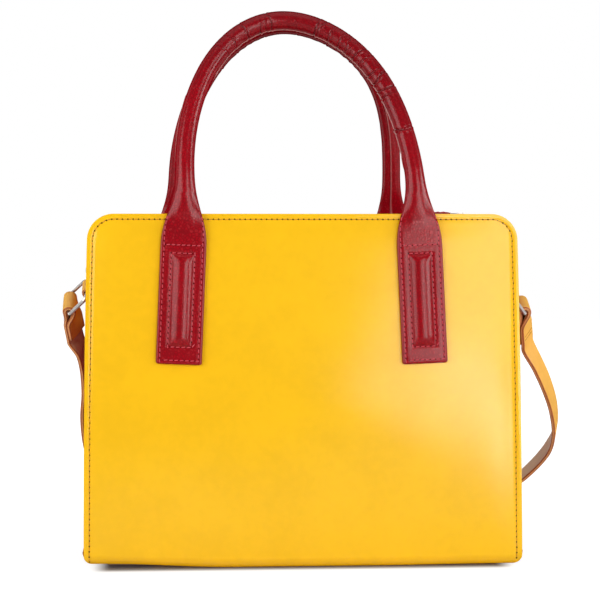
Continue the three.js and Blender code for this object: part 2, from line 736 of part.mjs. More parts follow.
// Frame of a ring: X out of the gusset, Y along the ring's bars and Z up, from its inner bar.
function ringFrame(side, tilt) {
  const out = new THREE.Vector3(side, 0, 0);
  const along = new THREE.Vector3(0, Math.cos(tilt), Math.sin(tilt));
  const up = new THREE.Vector3(0, -Math.sin(tilt), Math.cos(tilt));
  const reach = gussetFace(chapeNearZ(tilt)) + gap + chapeLoop;
  return new THREE.Matrix4().makeBasis(out, along, up).setPosition(side * reach, 0, ringHeight);
}

function addChape(name, frame, tilt) {
  const nearZ = chapeNearZ(tilt);
  const footZ = nearZ - chapeLength * Math.cos(tilt);
  const lean = gussetFace(footZ) - gussetFace(nearZ);
  const shape = new THREE.Shape();
  shape.moveTo(-chapeLoop + lean, -chapeLength);
  shape.lineTo(-chapeLoop + lean + 2 * chapeLeather, -chapeLength);
  shape.lineTo(-chapeLoop + 2 * chapeLeather, -chapeLoop);
  shape.lineTo(chapeLoop, 0);
  shape.absarc(0, 0, chapeLoop, 0, Math.PI, false);
  const eye = new THREE.Path();
  eye.absarc(0, 0, loopBore, 0, 2 * Math.PI, true);
  shape.holes.push(eye);
  const chape = extrudeDeep(shape, -chapeWidth / 2, chapeWidth / 2, 12);
  place(`${name}_chape`, solidOf(chape, frame), strapLeather);
}

function roundedFrame(path, half, low, high, corner) {
  path.moveTo(corner - half, low);
  path.lineTo(half - corner, low);
  path.absarc(half - corner, low + corner, corner, -Math.PI / 2, 0, false);
  path.absarc(half - corner, high - corner, corner, 0, Math.PI / 2, false);
  path.absarc(corner - half, high - corner, corner, Math.PI / 2, Math.PI, false);
  path.absarc(corner - half, low + corner, corner, Math.PI, 1.5 * Math.PI, false);
  return path;
}

function addRing(name, frame, swing) {
  const innerHalf = ringInnerWidth / 2;
  const wire = 2 * wireRadius;
  const shape = roundedFrame(
    new THREE.Shape(), innerHalf + wire, -wireRadius, ringReach + wireRadius, ringCorner,
  );
  const inside = roundedFrame(
    new THREE.Path(), innerHalf, wireRadius, ringReach - wireRadius, ringCorner - wire,
  );
  shape.holes.push(inside);
  const settings = {
    depth: wire - 2 * wireBevel,
    bevelThickness: wireBevel,
    bevelSize: wireBevel,
    bevelOffset: -wireBevel,
    bevelSegments: 1,
    curveSegments: 4,
  };
  const arm = new THREE.Vector3(Math.sin(swing), 0, -Math.cos(swing));
  const normal = axis.y.clone().cross(arm);
  const turn = new THREE.Matrix4().makeBasis(axis.y, arm, normal);
  turn.setPosition(normal.clone().multiplyScalar(wireBevel - wireRadius));
  const ring = new THREE.ExtrudeGeometry(shape, settings).applyMatrix4(turn);
  place(`${name}_ring`, solidOf(ring, frame), nickel);
}

// Frame of the strap's sewn end: X out of it, Y across it and Z back up to the ring's outer bar.
function strapFrame(frame, ringSwing, strapSwing) {
  const bar = new THREE.Vector3(Math.sin(ringSwing), 0, -Math.cos(ringSwing)).multiplyScalar(ringReach);
  const turn = new THREE.Matrix4().makeRotationY(-strapSwing).setPosition(bar);
  return frame.clone().multiply(turn);
}

function addStrapEnd(name, frame) {
  const loop = loopBore + strapThickness;
  const shape = new THREE.Shape();
  shape.moveTo(strapThickness, -strapDoubled);
  shape.lineTo(strapThickness, -strapTaper);
  shape.lineTo(loop, 0);
  shape.absarc(0, 0, loop, 0, Math.PI, false);
  shape.lineTo(-strapThickness, -strapTaper);
  shape.lineTo(-strapThickness, -strapDoubled);
  const eye = new THREE.Path();
  eye.moveTo(loopBore, 0);
  eye.absarc(0, 0, loopBore, 0, Math.PI, false);
  eye.lineTo(0, -strapEye);
  shape.holes.push(eye);
  const end = extrudeDeep(shape, -strapWidth / 2, strapWidth / 2, 10);
  place(`${name}_strap_end`, solidOf(end, frame), strapLeather);
}

function addStrapRun(name, frame, route) {
  const along = (z) => new THREE.Vector3(strapThickness / 2, 0, z).applyMatrix4(frame);
  const start = [along(-strapDoubled - gap), along(-strapDoubled - gap - strapLead)];
  const startAcross = axis.y.clone().transformDirection(frame);
  const points = [...start, ...route.map(([point]) => new THREE.Vector3(...point))];
  const line = new THREE.CatmullRomCurve3(points);
  const sides = route.map(([, side]) => new THREE.Vector3(...side));
  const across = new THREE.CatmullRomCurve3([startAcross, startAcross, ...sides]);
  const steps = 3 * route.length;
  const outer = [];
  const inner = [];
  for (let i = 0; i <= steps; i += 1) {
    const middle = line.getPoint(i / steps);
    const tangent = line.getTangent(i / steps);
    const raw = across.getPoint(i / steps);
    const width = raw.addScaledVector(tangent, -raw.dot(tangent)).setLength(strapWidth / 2);
    const normal = tangent.clone().cross(width).setLength(strapThickness / 2);
    const corner = (a, b) => middle.clone().addScaledVector(width, a).addScaledVector(normal, b);
    outer.push([corner(-1, 1), corner(1, 1)]);
    inner.push([corner(-1, -1), corner(1, -1)]);
  }
  place(`${name}_strap_run`, sheet(outer, inner), strapLeather);
}

function addCarrier(name, side, tilt, ringSwing, strapSwing, route) {
  const frame = ringFrame(side, tilt);
  addChape(name, frame, tilt);
  addRing(name, frame, ringSwing);
  const endFrame = strapFrame(frame, ringSwing, strapSwing);
  addStrapEnd(name, endFrame);
  addStrapRun(name, endFrame, route);
}

addBody();
addSide('left', -1);
addSide('right', 1);
addFlap('front', -1);
addFlap('back', 1);
addSlider();
addHandle('front', -1, frontHandleShift, frontGripSway, frontGripFullness);
addHandle('back', 1, backHandleShift, backGripSway, backGripFullness);
addCarrier('left', -1, leftRingTilt, leftRingSwing, leftStrapSwing, leftRoute);
addCarrier('right', 1, rightRingTilt, rightRingSwing, rightStrapSwing, rightRoute);

export default satchel;
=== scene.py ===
"""The looks of a leather satchel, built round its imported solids.

Lengths are metres, in the frame of the solids: X to the right seen from the front, Y to the back
and Z up, with the origin in the middle of the base.
"""
import math

import bmesh
import bpy
import numpy as np
from bpy.props import FloatProperty, FloatVectorProperty, PointerProperty
from bpy.types import Operator, Panel, PropertyGroup
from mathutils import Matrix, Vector
from mathutils.bvhtree import BVHTree


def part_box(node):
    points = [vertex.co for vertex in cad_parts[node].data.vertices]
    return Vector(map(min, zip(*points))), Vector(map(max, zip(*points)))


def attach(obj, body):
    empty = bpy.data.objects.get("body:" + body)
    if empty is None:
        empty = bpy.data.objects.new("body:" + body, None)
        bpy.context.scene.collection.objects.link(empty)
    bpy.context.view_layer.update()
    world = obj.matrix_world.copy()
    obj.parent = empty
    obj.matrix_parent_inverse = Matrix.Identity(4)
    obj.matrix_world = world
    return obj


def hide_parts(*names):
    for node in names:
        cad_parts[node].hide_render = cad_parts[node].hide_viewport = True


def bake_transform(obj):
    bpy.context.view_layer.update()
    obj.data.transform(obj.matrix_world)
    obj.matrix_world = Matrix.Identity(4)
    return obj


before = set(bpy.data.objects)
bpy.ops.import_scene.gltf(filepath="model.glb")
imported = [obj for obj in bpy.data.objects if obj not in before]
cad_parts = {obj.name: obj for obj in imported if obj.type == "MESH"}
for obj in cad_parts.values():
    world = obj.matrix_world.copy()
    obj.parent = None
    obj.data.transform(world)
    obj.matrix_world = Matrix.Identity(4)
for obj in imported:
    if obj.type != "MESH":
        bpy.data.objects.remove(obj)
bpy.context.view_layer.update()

bl_info = {
    "name": "Leather Satchel",
    "version": (1, 0, 0),
    "blender": (4, 5, 0),
    "location": "View3D > Sidebar > Satchel",
    "description": "Builds the leather, thread, zip and fittings of a satchel on its packed solids",
    "category": "Object",
}

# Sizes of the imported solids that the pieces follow
GAP = 0.0003
BASE_WIDTH = 0.330
TOP_WIDTH = 0.322
BODY_HEIGHT = 0.266
BASE_DEPTH = 0.130
PANEL_LEAN = 0.012
PANEL_SLOPE = math.atan2(PANEL_LEAN, BODY_HEIGHT)
PANEL_LEATHER = 0.002
FOLD_RADIUS = 0.009
UPPER_CORNER = 0.020
LOWER_CORNER = 0.008
GUSSET_LEATHER = 0.0016
EDGE_RECESS = 0.0025
GUSSET_BULGE = 0.004
FLANGE_WIDTH = 0.010
FOOT_RADIUS = 0.008
FOOT_TURN = 0.010
FOOT_FLARE = 0.006
FOOT_FLARE_HEIGHT = 0.045
FLAP_LENGTH = 0.232
STRIP_LEATHER = 0.0016
FACING_DROP = 0.016
ZIP_SLOT = 0.011
ZIP_TAPE = 0.026
ZIP_TAPE_THICKNESS = 0.0008
ZIP_SIDE_DROP = 0.040
ZIP_TAPE_TAIL = 0.005
TEETH_WIDTH = 0.006
TEETH_PROUD = 0.0006
HANDLE_SPAN = 0.174
GRIP_RISE = 0.1375
GRIP_TILT = math.radians(17)
NECK_RISE = 0.018
TAB_WIDTH = 0.0345
TAB_LENGTH = 0.113
TAB_LEATHER = 0.003
TAB_CORNER = 0.002
TAB_SPLAY = math.radians(2.4)
RIDGE_WIDTH = 0.0155
RIDGE_LENGTH = 0.068
RIDGE_DROP = 0.031
RIDGE_MIDDLE = -RIDGE_DROP - RIDGE_LENGTH / 2
RING_HEIGHT = 0.209
WIRE_RADIUS = 0.0015
RING_INNER_WIDTH = 0.021
RING_REACH = 0.022
RING_CORNER = 0.004
LOOP_BORE = 0.0021
CHAPE_WIDTH = 0.018
CHAPE_LENGTH = 0.040
STRAP_WIDTH = 0.020
STRAP_THICKNESS = 0.003
STRAP_DOUBLED = 0.030
STRAP_TAPER = 0.016
STRAP_LEAD = 0.006

# Sizes where the leather and wire depart from their solids
SIDE_CURVE = 1.6
FLANGE_BEND = 0.002
PANEL_TOP_WIDTH = 0.3247
PANEL_CURVE = 2.4
RING_INNER_CORNER = 0.0058
CHAPE_LEATHER = 0.0016
CHAPE_SHOWN_WIDTH = 0.0125

# Panels: slow waves (radians to a metre along X and along Z, and a phase), calm foot, lifted corners,
# and the places across where the sheet has its points
PANEL_WAVES = ((47, 21, 1.3), (-12, 38, 0.4))
PANEL_CALM_HEIGHT = 0.03
LIFT_SPAN = (0.055, 0.15)
LIFT_HEIGHT = 0.06
RIGHT_LIFT_SHARE = 0.2
PANEL_SEAM_FOOT = 0.006
WRAP_BORDER = np.array([0, 0.0004, 0.001, 0.002, 0.003, 0.0036, 0.0042, 0.0048, 0.0056, 0.007, 0.009,
                        0.012, 0.016, 0.022])
WRAP_MIDDLE_INSET = 0.03

# Rounding of cut edges
PANEL_ROUNDING = 0.0005
THIN_ROUNDING = 0.0004
CLOTH_ROUNDING = 0.0002

# Pieces that come in twos, with the side they lie on
PANELS = (("front", -1), ("back", 1))
ENDS = (("left", -1), ("right", 1))

# Seams: their colour, the thickness of the thread and the width of the needle holes
SEAMS = {
    "panel": ("yellow", 0.0007, 0.0013),
    "strap": ("yellow", 0.0007, 0.0008),
    "tab": ("red", 0.0008, 0.0009),
    "strip": ("red", 0.0006, 0.0008),
    "pull": ("red", 0.0005, 0.0006),
}

# One stitch: places along it with its width there, how it lies, and how it drops from its guide line
THREAD_STATIONS = ((-1.0, 0.05), (-0.93, 0.62), (-0.6, 0.98), (0.0, 1.0), (0.6, 0.98), (0.93, 0.62),
                   (1.0, 0.05))
THREAD_SIDES = 8
THREAD_ARCH = 0.34
THREAD_SINK = 0.55
THREAD_FLATNESS = 1.2
STITCH_SHARE = 0.78
STITCH_LEAN = math.radians(7)
HOLE_SIDES = 10
HOLE_STRETCH = 1.25
HOLE_RISE = 0.00006
DROP_START = 0.012
DROP_REACH = 0.04
GUIDE_CLEARANCE = 0.003

# Sizes of the lining
LINING_INSET = 0.0042
LINING_BASE = 0.0056
LINING_TOP = BODY_HEIGHT - 0.018
LINING_MARGIN = 0.0055
LINING_BEND = 0.006
LINING_CLOTH = 0.0008
LINING_CALM_DEPTH = 0.05
SIDE_LINING_FOOT = 0.0103
SIDE_LINING_TOP = BODY_HEIGHT - 0.050
SIDE_LINING_INSET = 0.0048

# Sizes of the zip
SLOT_SEAM_OFFSET = 0.0025
SLOT_SEAM_PAST = 0.003
SLOT_GUIDE_RISE = 0.002
SHOULDER_ANGLE = 0.6
SHOULDER_WAY = 0.3
STRIP_TOP = BODY_HEIGHT - EDGE_RECESS
STRIP_MIDDLE = STRIP_TOP - STRIP_LEATHER / 2
TAPE_LEVEL = STRIP_TOP - STRIP_LEATHER - GAP
TEETH_LEVEL = STRIP_TOP + TEETH_PROUD
BEHIND_PANEL = PANEL_LEATHER + GAP
FLAP_BEND_DROP = 0.0019
FLAP_SAG = 0.0005
FLAP_RIPPLE = 0.6
FLAP_SEAM_END = 0.003
TOOTH_OUTLINE = ((0.0, -0.5), (0.55, -0.5), (0.72, -0.36), (0.92, -0.46), (1.0, -0.2),
                 (1.0, 0.2), (0.92, 0.46), (0.72, 0.36), (0.55, 0.5), (0.0, 0.5))
TOOTH_OVERLAP = 0.0007
TOOTH_SHARE = 0.46
TOOTH_SHOULDER = 0.8
TOOTH_HEAD = (0.86, 0.76)
END_TEETH_CLEARANCE = 0.001
SLIDER_PLATE = 0.0014
SLIDER_BLUNTNESS = 0.45
SLIDER_WAIST = 0.14
SLIDER_SUNK = 0.0002
SLIDER_ROUNDING = 0.00028
LIP_LENGTH_SHARE = 0.9
LIP_WIDTH_SHARE = 0.93
LUG_RADIUS = 0.002
LUG_FOOT = 0.0022
LUG_HALF = 0.001
EYE_RADIUS = 0.00125
EYE_RISE = 0.0012
PULL_WIRE = 0.0006
PULL_WIRE_CORNER = 0.0008
PULL_NECK = 0.0024
PULL_END_ROUND = 0.0045
PULL_SHOULDER = 0.004
PULL_SEAM_INSET = 0.0016
PULL_SEAM_ENDS = (0.0018, 0.004, 0.003)
PULL_GUIDE_RISE = 0.001
PULL_SIDES = 32
STOP_STATIONS = ((-1, 0.82), (-0.93, 0.94), (-0.7, 1.0), (0.3, 1.0), (0.62, 0.97), (0.85, 0.86),
                 (0.97, 0.68), (1.0, 0.5))
STOP_SIDES = 32

# What differs between the two handles: side, shift, sway and fullness of the arch
HANDLES = {
    "front": (-1, -0.0015, -0.0115, 0.003),
    "back": (1, -0.009, -0.0015, 0.0085),
}

# How a handle's section changes from the tab up to the grip, by height over the panel's top edge
FLARE_HEIGHTS = np.array([-0.113, -0.020, -0.016, -0.0095, -0.006, -0.0004, 0.004, 0.009, 0.017, 0.030,
                          0.300])
FLARE_HALVES = np.array([17.25, 17.25, 17.1, 15.8, 15.0, 12.9, 10.7, 9.1, 7.9, 7.25, 7.2]) * 0.001
FRONT_HEIGHTS = np.array([-0.113, -0.024, -0.014, -0.004, 0.004, 0.012, 0.020, 0.030, 0.300])
FRONT_DEPTHS = np.array([1.5, 1.5, 2.1, 3.7, 5.4, 6.8, 7.3, 7.2, 7.2]) * 0.001
BACK_HEIGHTS = np.array([-0.113, -0.002, 0.004, 0.010, 0.016, 0.024, 0.300])
BACK_DEPTHS = np.array([1.5, 1.5, 2.6, 5.0, 6.7, 7.2, 7.2]) * 0.001
ROLLED_SPAN = (-0.017, 0.013)
FLARE_SPAN = (-0.03, 0.045)
FLARE_ROUNDS = 14
NECK_WIDTH = 0.016
NECK_FOOT = -0.004
NECK_ROUNDS = 60
NECK_SKIP = 0.0035
TAB_TOP = 0.0115
TAB_SETTLE_SPAN = (0.004, -0.012)
EDGE_PAINT_TOP = -0.006
THINNEST = 0.05

# A handle's section: points over its front and edges, and directions in degrees
FRONT_POINTS = 41
EDGE_POINTS = 5
EDGE_TURN = 22.0
SEAM_TURN = -98.0
SEAM_TURN_REACH = 14.0

# A tab's stitch lines, the depth and width of the dents along them, and its ridge's rounded ends
RIDGE_END = 0.007
RIDGE_SEAM = 0.0011
RIDGE_DENT = (0.0003, 0.0009)
HEAD_SEAM_DROP = 0.0238
HEAD_SEAM_HALF = 0.0145
HEAD_DENT = (0.00022, 0.0008)
EDGE_DENT = (0.0002, 0.0008)
EDGE_DENT_TOP = -0.012
TAB_SEAM_FOOT = 0.003
TAB_SEAM_CLEARANCE = 0.011
TAB_SEAM_FLARE = ((0.0126, -0.0015), (0.0134, -0.006), (0.0141, -0.011), (0.01445, -0.016))
TAB_SEAM_TOP = -0.02
HEAD_SEAM_INSET = 0.0012

# The grips: steps along the arch, painted shade of the creases and of the grip's creased middle, and where
# the leather bends with the handle
GRIP_STEP = 0.0016
CREASE_STEP = 0.00055
CREASE_MARGIN = 0.02
CREASE_FULL_SHADE = 0.0011
CREASE_DEEPEST_SHADE = 0.75
GRIP_PAINTED_SHADE = 0.3

# What differs between the two sides: side, tilt and swing of the ring, swing and twist of the strap
CARRIERS = {
    "left": (-1, math.radians(40), math.radians(40), math.radians(-6), math.radians(28)),
    "right": (1, math.radians(28), math.radians(36), math.radians(9), math.radians(30)),
}

# The strap and the chapes: finishes of face, rim, back and core, folds and stitch lines
STRIP_FINISHES = ["strap_hide", "edge_brown", "strap_back", "edge_core"]
STRIP_RIM_SLOTS = [1, 1, 3, 3, 3, 3, 1, 1]
STRIP_GROOVE_RIM = 0.00012
STRIP_GROOVE = 0.0003
STRAP_CROWN = 0.0001
STRAP_SAMPLES = 9
STRAP_TWIST_SPAN = (0.001, 0.017)
STRAP_SEAM_DROPS = (0.0235, 0.0265)
STRAP_SEAM_HALF = 0.0072
STRAP_SEAM_CLEARANCE = 0.004
STRAP_BEND_DROP = 0.031
CHAPE_TAPER = 0.012
CHAPE_SINK_SPAN = (0.001, -0.012)
CHAPE_SEAM_INSET = 0.002
CHAPE_SEAM_SPAN = (-0.013, -0.037)
CHAPE_SEAM_CLEARANCE = 0.006

# The stage: the point the camera looks at, and where each lamp stands, what it faces and its size
SENSOR_WIDTH = 36
CAMERA_AIM_X = -0.0035
CAMERA_AIM_Z = 0.2015
FLOOR_REACH = 4
LAMPS = {
    "key": ((0.64, -1.60, 0.60), (0.1, 0, 0.2), (0.58, 1.2)),
    "low": ((0.60, -1.60, 0.08), (0.12, 0, 0.08), (0.6, 0.14)),
    "fill": ((-0.95, -0.75, 0.5), (0, 0, 0.2), (0.8, 1.2)),
    "side": ((1.1, -0.55, 0.5), (0, 0, 0.2), (0.3, 1.2)),
    "top": ((0, -0.3, 1.4), (0, 0, 0.2), (1.2, 0.9)),
    "back": ((-0.4, 1.5, 0.6), (0, 0, 0.15), (1.2, 1.0)),
}

# The strap's route behind the bag, from each sewn end to the middle: a point of the middle line
# and the direction across the strap there
STRAP_ROUTES = {
    "left": [
        ((-0.173, 0.039, 0.158), (0.2, 0.82, 0.52)),
        ((-0.1712, 0.045, 0.145), (0.12, 0.86, 0.48)),
        ((-0.1712, 0.053, 0.126), (0.06, 0.9, 0.42)),
        ((-0.173, 0.062, 0.105), (0.04, 0.9, 0.42)),
        ((-0.1705, 0.075, 0.078), (0.06, 0.86, 0.5)),
        ((-0.1605, 0.092, 0.045), (-0.05, 0.9, 0.4)),
        ((-0.139, 0.110, 0.016), (-0.3, 0.93, 0.15)),
        ((-0.112, 0.126, 0.0045), (-0.4, 0.9, 0.02)),
        ((-0.085, 0.141, 0.0018), (-0.45, 0.9, 0)),
        ((-0.052, 0.160, 0.0018), (-0.25, 0.97, 0)),
        ((-0.020, 0.168, 0.0018), (0, 1, 0)),
        ((0, 0.168, 0.0018), (0, 1, 0)),
    ],
    "right": [
        ((0.194, 0.027, 0.146), (0.45, 0.8, 0.4)),
        ((0.203, 0.035, 0.129), (0.42, 0.8, 0.4)),
        ((0.2105, 0.044, 0.110), (0.36, 0.82, 0.4)),
        ((0.2145, 0.057, 0.089), (0.27, 0.84, 0.45)),
        ((0.212, 0.069, 0.074), (0.17, 0.85, 0.5)),
        ((0.196, 0.089, 0.0495), (0.2, 0.88, 0.38)),
        ((0.166, 0.110, 0.023), (0.35, 0.92, 0.08)),
        ((0.138, 0.127, 0.009), (0.45, 0.89, 0)),
        ((0.112, 0.139, 0.0032), (0.45, 0.89, 0)),
        ((0.085, 0.150, 0.0018), (0.4, 0.9, 0)),
        ((0.052, 0.162, 0.0018), (0.2, 0.98, 0)),
        ((0.020, 0.168, 0.0018), (0, 1, 0)),
        ((0, 0.168, 0.0018), (0, 1, 0)),
    ],
}

# Creases across the grips: the share of the arch they lie at and their depth in millimetres
CREASES = {
    "front": [
        (0.328, 0.35), (0.3555, 0.45), (0.3935, 0.7), (0.429, 0.8), (0.4425, 0.35), (0.4535, 0.7),
        (0.512, 0.25), (0.5606, 1.0), (0.569, 0.5), (0.594, 0.5), (0.6189, 0.6), (0.6408, 0.5),
        (0.6685, 0.9), (0.6905, 0.5), (0.7199, 1.1), (0.7408, 1.2), (0.7668, 0.8), (0.7855, 0.9),
        (0.8629, 1.1), (0.868, 0.4),
    ],
    "back": [
        (0.2, 0.5), (0.25, 0.45), (0.31, 0.4), (0.365, 0.4), (0.44, 0.5), (0.52, 0.4), (0.59, 0.5),
        (0.66, 0.4), (0.7, 0.3),
    ],
}

# Where each grip's seam lies round its section, in degrees, along the arch
SEAM_TURNS = {
    "front": [(0, -98), (0.05, -30), (0.1, 8), (0.2, 8), (0.235, -70), (0.27, -176), (0.5, -172),
              (0.75, -182), (0.92, -188), (0.97, -130), (1, -98)],
    "back": [(0, -98), (1, -98)],
}

# How pale the raw edge along each grip's seam is
LIP_SHARES = {"front": 0.5, "back": 0.25}


def colour(red, green, blue):
    """A colour given as a screen shows it, from 0 to 255, as Blender stores it."""
    return tuple((c / 255 / 12.92) if c < 11 else ((c / 255 + 0.055) / 1.055) ** 2.4
                 for c in (red, green, blue))


def length_setting(name, description, default):
    return FloatProperty(name=name, description=description, default=default, min=0, unit="LENGTH",
                         precision=5)


def colour_setting(name, description, default):
    return FloatVectorProperty(name=name, description=description, default=default, size=3,
                               subtype="COLOR", min=0, max=1)


def power_setting(name, description, default):
    return FloatProperty(name=name, description=description, default=default, min=0, subtype="POWER")


class SatchelBody(PropertyGroup):
    """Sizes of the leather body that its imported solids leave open."""

    seam_inset: length_setting("Seam inset", "From the panel's edge to its stitch line", 0.0042)
    seam_roll: length_setting("Seam roll", "How far the panel swells inside its seam", 0.0011)
    seam_roll_width: length_setting("Roll width", "How wide that swelling is", 0.011)
    seam_groove: length_setting("Seam groove", "How deep the thread pulls the leather in", 0.00035)
    seam_groove_width: length_setting("Groove width", "How wide the thread's groove is", 0.0013)
    belly: length_setting("Belly", "How far the middle of a panel stands out", 0.0014)
    wave: length_setting("Wave", "Height of the slow waves in a panel", 0.0002)
    base_lift: length_setting("Base lift", "How far the left corner stands off the floor", 0.0034)
    lining_ripple: length_setting("Lining ripple", "Height of the ripples in the lining", 0.0006)


class SatchelHandles(PropertyGroup):
    """Sizes of the handles' leather."""

    ridge_height: length_setting("Ridge height", "Height of the padded ridge on each tab", 0.0027)
    tab_seam_inset: length_setting("Tab seam inset", "From a tab's edge to its stitch line", 0.0028)
    crease_width: length_setting("Crease width", "Width of a crease across a grip", 0.0006)
    buckle_height: length_setting("Buckle height", "Puckers on the inside of the arch", 0.0002)
    seam_lip: length_setting("Seam lip", "Height of the raw edge along the grip's seam", 0.00045)
    seam_cut: length_setting("Seam cut", "Depth of the cut beside that edge", 0.0005)


class SatchelSewing(PropertyGroup):
    """Spacing of the stitches and of the zip's teeth."""

    pitch: length_setting("Stitch pitch", "From one needle hole to the next", 0.004)
    tooth_pitch: length_setting("Tooth pitch", "From one zip tooth to the next", 0.0024)


class SatchelColours(PropertyGroup):
    """Colours of the leathers, threads, cloth and metal."""

    yellow: colour_setting("Yellow leather", "Front, base and back", colour(250, 193, 24))
    burgundy: colour_setting("Burgundy leather", "Handles, gussets and zip strips", colour(155, 7, 22))
    # The raw edge's colour also tints the painted glints on the leather's pebbles
    raw_edge: colour_setting("Raw edge", "Cut edge along the grips' seams", colour(232, 186, 178))
    strap: colour_setting("Strap leather", "Outside of the strap", colour(250, 188, 92))
    strap_back: colour_setting("Strap back", "Inside of the strap", colour(234, 192, 152))
    edge_brown: colour_setting("Strap edge", "Painted edge of the strap", colour(186, 96, 38))
    edge_core: colour_setting("Edge core", "Middle of the strap's edge", colour(240, 172, 108))
    edge_yellow: colour_setting("Panel edge", "Painted edge of the panels", colour(226, 150, 40))
    thread_yellow: colour_setting("Yellow thread", "Thread of the panels", colour(214, 148, 24))
    thread_red: colour_setting("Red thread", "Thread of the tabs and strips", colour(206, 66, 78))
    # The needle holes' colours are painted shade for the holes
    hole_yellow: colour_setting("Panel hole", "Needle holes in yellow leather", colour(104, 74, 12))
    hole_red: colour_setting("Tab hole", "Needle holes in burgundy leather", colour(84, 8, 16))
    lining: colour_setting("Lining", "Cotton lining", colour(176, 148, 108))
    board: colour_setting("Board", "Fibre board inside the walls", colour(138, 122, 98))
    zip_tape: colour_setting("Zip tape", "Woven tape of the zip", colour(62, 12, 20))
    nickel: colour_setting("Nickel", "Rings, zip teeth and slider", colour(232, 228, 224))
    dark_nickel: colour_setting("Dark nickel", "End stops of the zip", colour(78, 66, 62))


class SatchelStage(PropertyGroup):
    """The camera, the lamps and the floor."""

    camera_distance: length_setting("Camera distance", "From the front panel to the camera", 1.30)
    camera_height: length_setting("Camera height", "Camera above the floor", 0.245)
    camera_turn: FloatProperty(name="Camera turn", description="Camera to the right of square on",
                               default=math.radians(-3.6), subtype="ANGLE")
    lens: FloatProperty(name="Lens", description="Focal length in millimetres", default=104.5, min=20)
    key_power: power_setting("Key power", "Lamp on the right", 8.7)
    low_power: power_setting("Low power", "Lamp near the floor on the right", 1.2)
    fill_power: power_setting("Fill power", "Lamp on the left", 9.8)
    side_power: power_setting("Side power", "Lamp beside the bag", 7.5)
    top_power: power_setting("Top power", "Lamp overhead", 2)
    back_power: power_setting("Back power", "Lamp behind the bag", 8)
    room_light: FloatProperty(name="Room light", description="Even light of the room", default=0.09,
                              min=0)
    floor_glow: FloatProperty(name="Floor glow", description="Own light of the floor under the bag",
                              default=0.9, min=0)


# Shader sockets that take part in Python sums

class Wire:
    """One output of a node; sums with it add Math nodes."""

    def __init__(self, bench, socket):
        self.bench = bench
        self.socket = socket

    def other(self, output):
        """Another output of the same node."""
        return Wire(self.bench, self.socket.node.outputs[output])

    def sum(self, operation, first, second):
        return self.bench.add("ShaderNodeMath", {"operation": operation}, {0: first, 1: second})

    def __add__(self, other):
        return self.sum("ADD", self, other)

    def __radd__(self, other):
        return self.sum("ADD", other, self)

    def __sub__(self, other):
        return self.sum("SUBTRACT", self, other)

    def __rsub__(self, other):
        return self.sum("SUBTRACT", other, self)

    def __mul__(self, other):
        return self.sum("MULTIPLY", self, other)

    def __rmul__(self, other):
        return self.sum("MULTIPLY", other, self)

    def larger(self, other):
        return self.sum("MAXIMUM", self, other)


class Bench:
    """The nodes of one material or of the world."""

    def __init__(self, tree):
        self.tree = tree
        self.tree.nodes.clear()

    def add(self, kind, settings=None, inputs=None, output=0):
        """Adds a node, sets it up, then fills its sockets with values or links."""
        node = self.tree.nodes.new(kind)
        for key, value in (settings or {}).items():
            setattr(node, key, value)
        for key, value in (inputs or {}).items():
            if isinstance(value, Wire):
                self.tree.links.new(value.socket, node.inputs[key])
            else:
                node.inputs[key].default_value = value
        return Wire(self, node.outputs[output] if node.outputs else None)

    def place(self):
        return self.add("ShaderNodeTexCoord", output="Object")

    def noise(self, scale, detail, roughness, place):
        inputs = {"Vector": place, "Scale": scale, "Detail": detail, "Roughness": roughness}
        return self.add("ShaderNodeTexNoise", {}, inputs)

    def cells(self, scale, feature, place):
        return self.add("ShaderNodeTexVoronoi", {"feature": feature}, {"Vector": place, "Scale": scale})

    def mark(self, name):
        """A value stored on the mesh's points."""
        return self.add("ShaderNodeAttribute", {"attribute_name": name}, {}, "Fac")

    def ramp(self, value, low, high, to_low=0.0, to_high=1.0):
        inputs = {0: value, 1: low, 2: high, 3: to_low, 4: to_high}
        return self.add("ShaderNodeMapRange", {"interpolation_type": "SMOOTHSTEP"}, inputs)

    def mix(self, share, first, second):
        inputs = {0: share, 6: first, 7: second}
        return self.add("ShaderNodeMix", {"data_type": "RGBA", "blend_type": "MIX"}, inputs, 2)

    def tones(self, share, rgb, dark, light):
        """From a darker to a lighter tone of one colour."""
        return self.mix(share, opaque(rgb, dark), opaque(rgb, light))

    def bump(self, height, distance):
        inputs = {"Strength": 1.0, "Distance": distance, "Height": height}
        return self.add("ShaderNodeBump", {}, inputs)

    def shader(self, **sockets):
        inputs = {key.replace("_", " ").title().replace("Ior", "IOR"): value
                  for key, value in sockets.items()}
        return self.add("ShaderNodeBsdfPrincipled", {}, inputs)

    def output(self, shader):
        self.add("ShaderNodeOutputMaterial", {}, {"Surface": shader})

    def surface(self, **sockets):
        self.output(self.shader(**sockets))


def bench_for(name):
    """An empty material and the bench that fills it."""
    material = bpy.data.materials.new(name)
    material.use_nodes = True
    return material, Bench(material.node_tree)


def opaque(rgb, factor=1.0):
    """A colour made darker or lighter, as a shader socket takes it."""
    return tuple(min(c * factor, 1.0) for c in rgb) + (1.0,)


# Materials

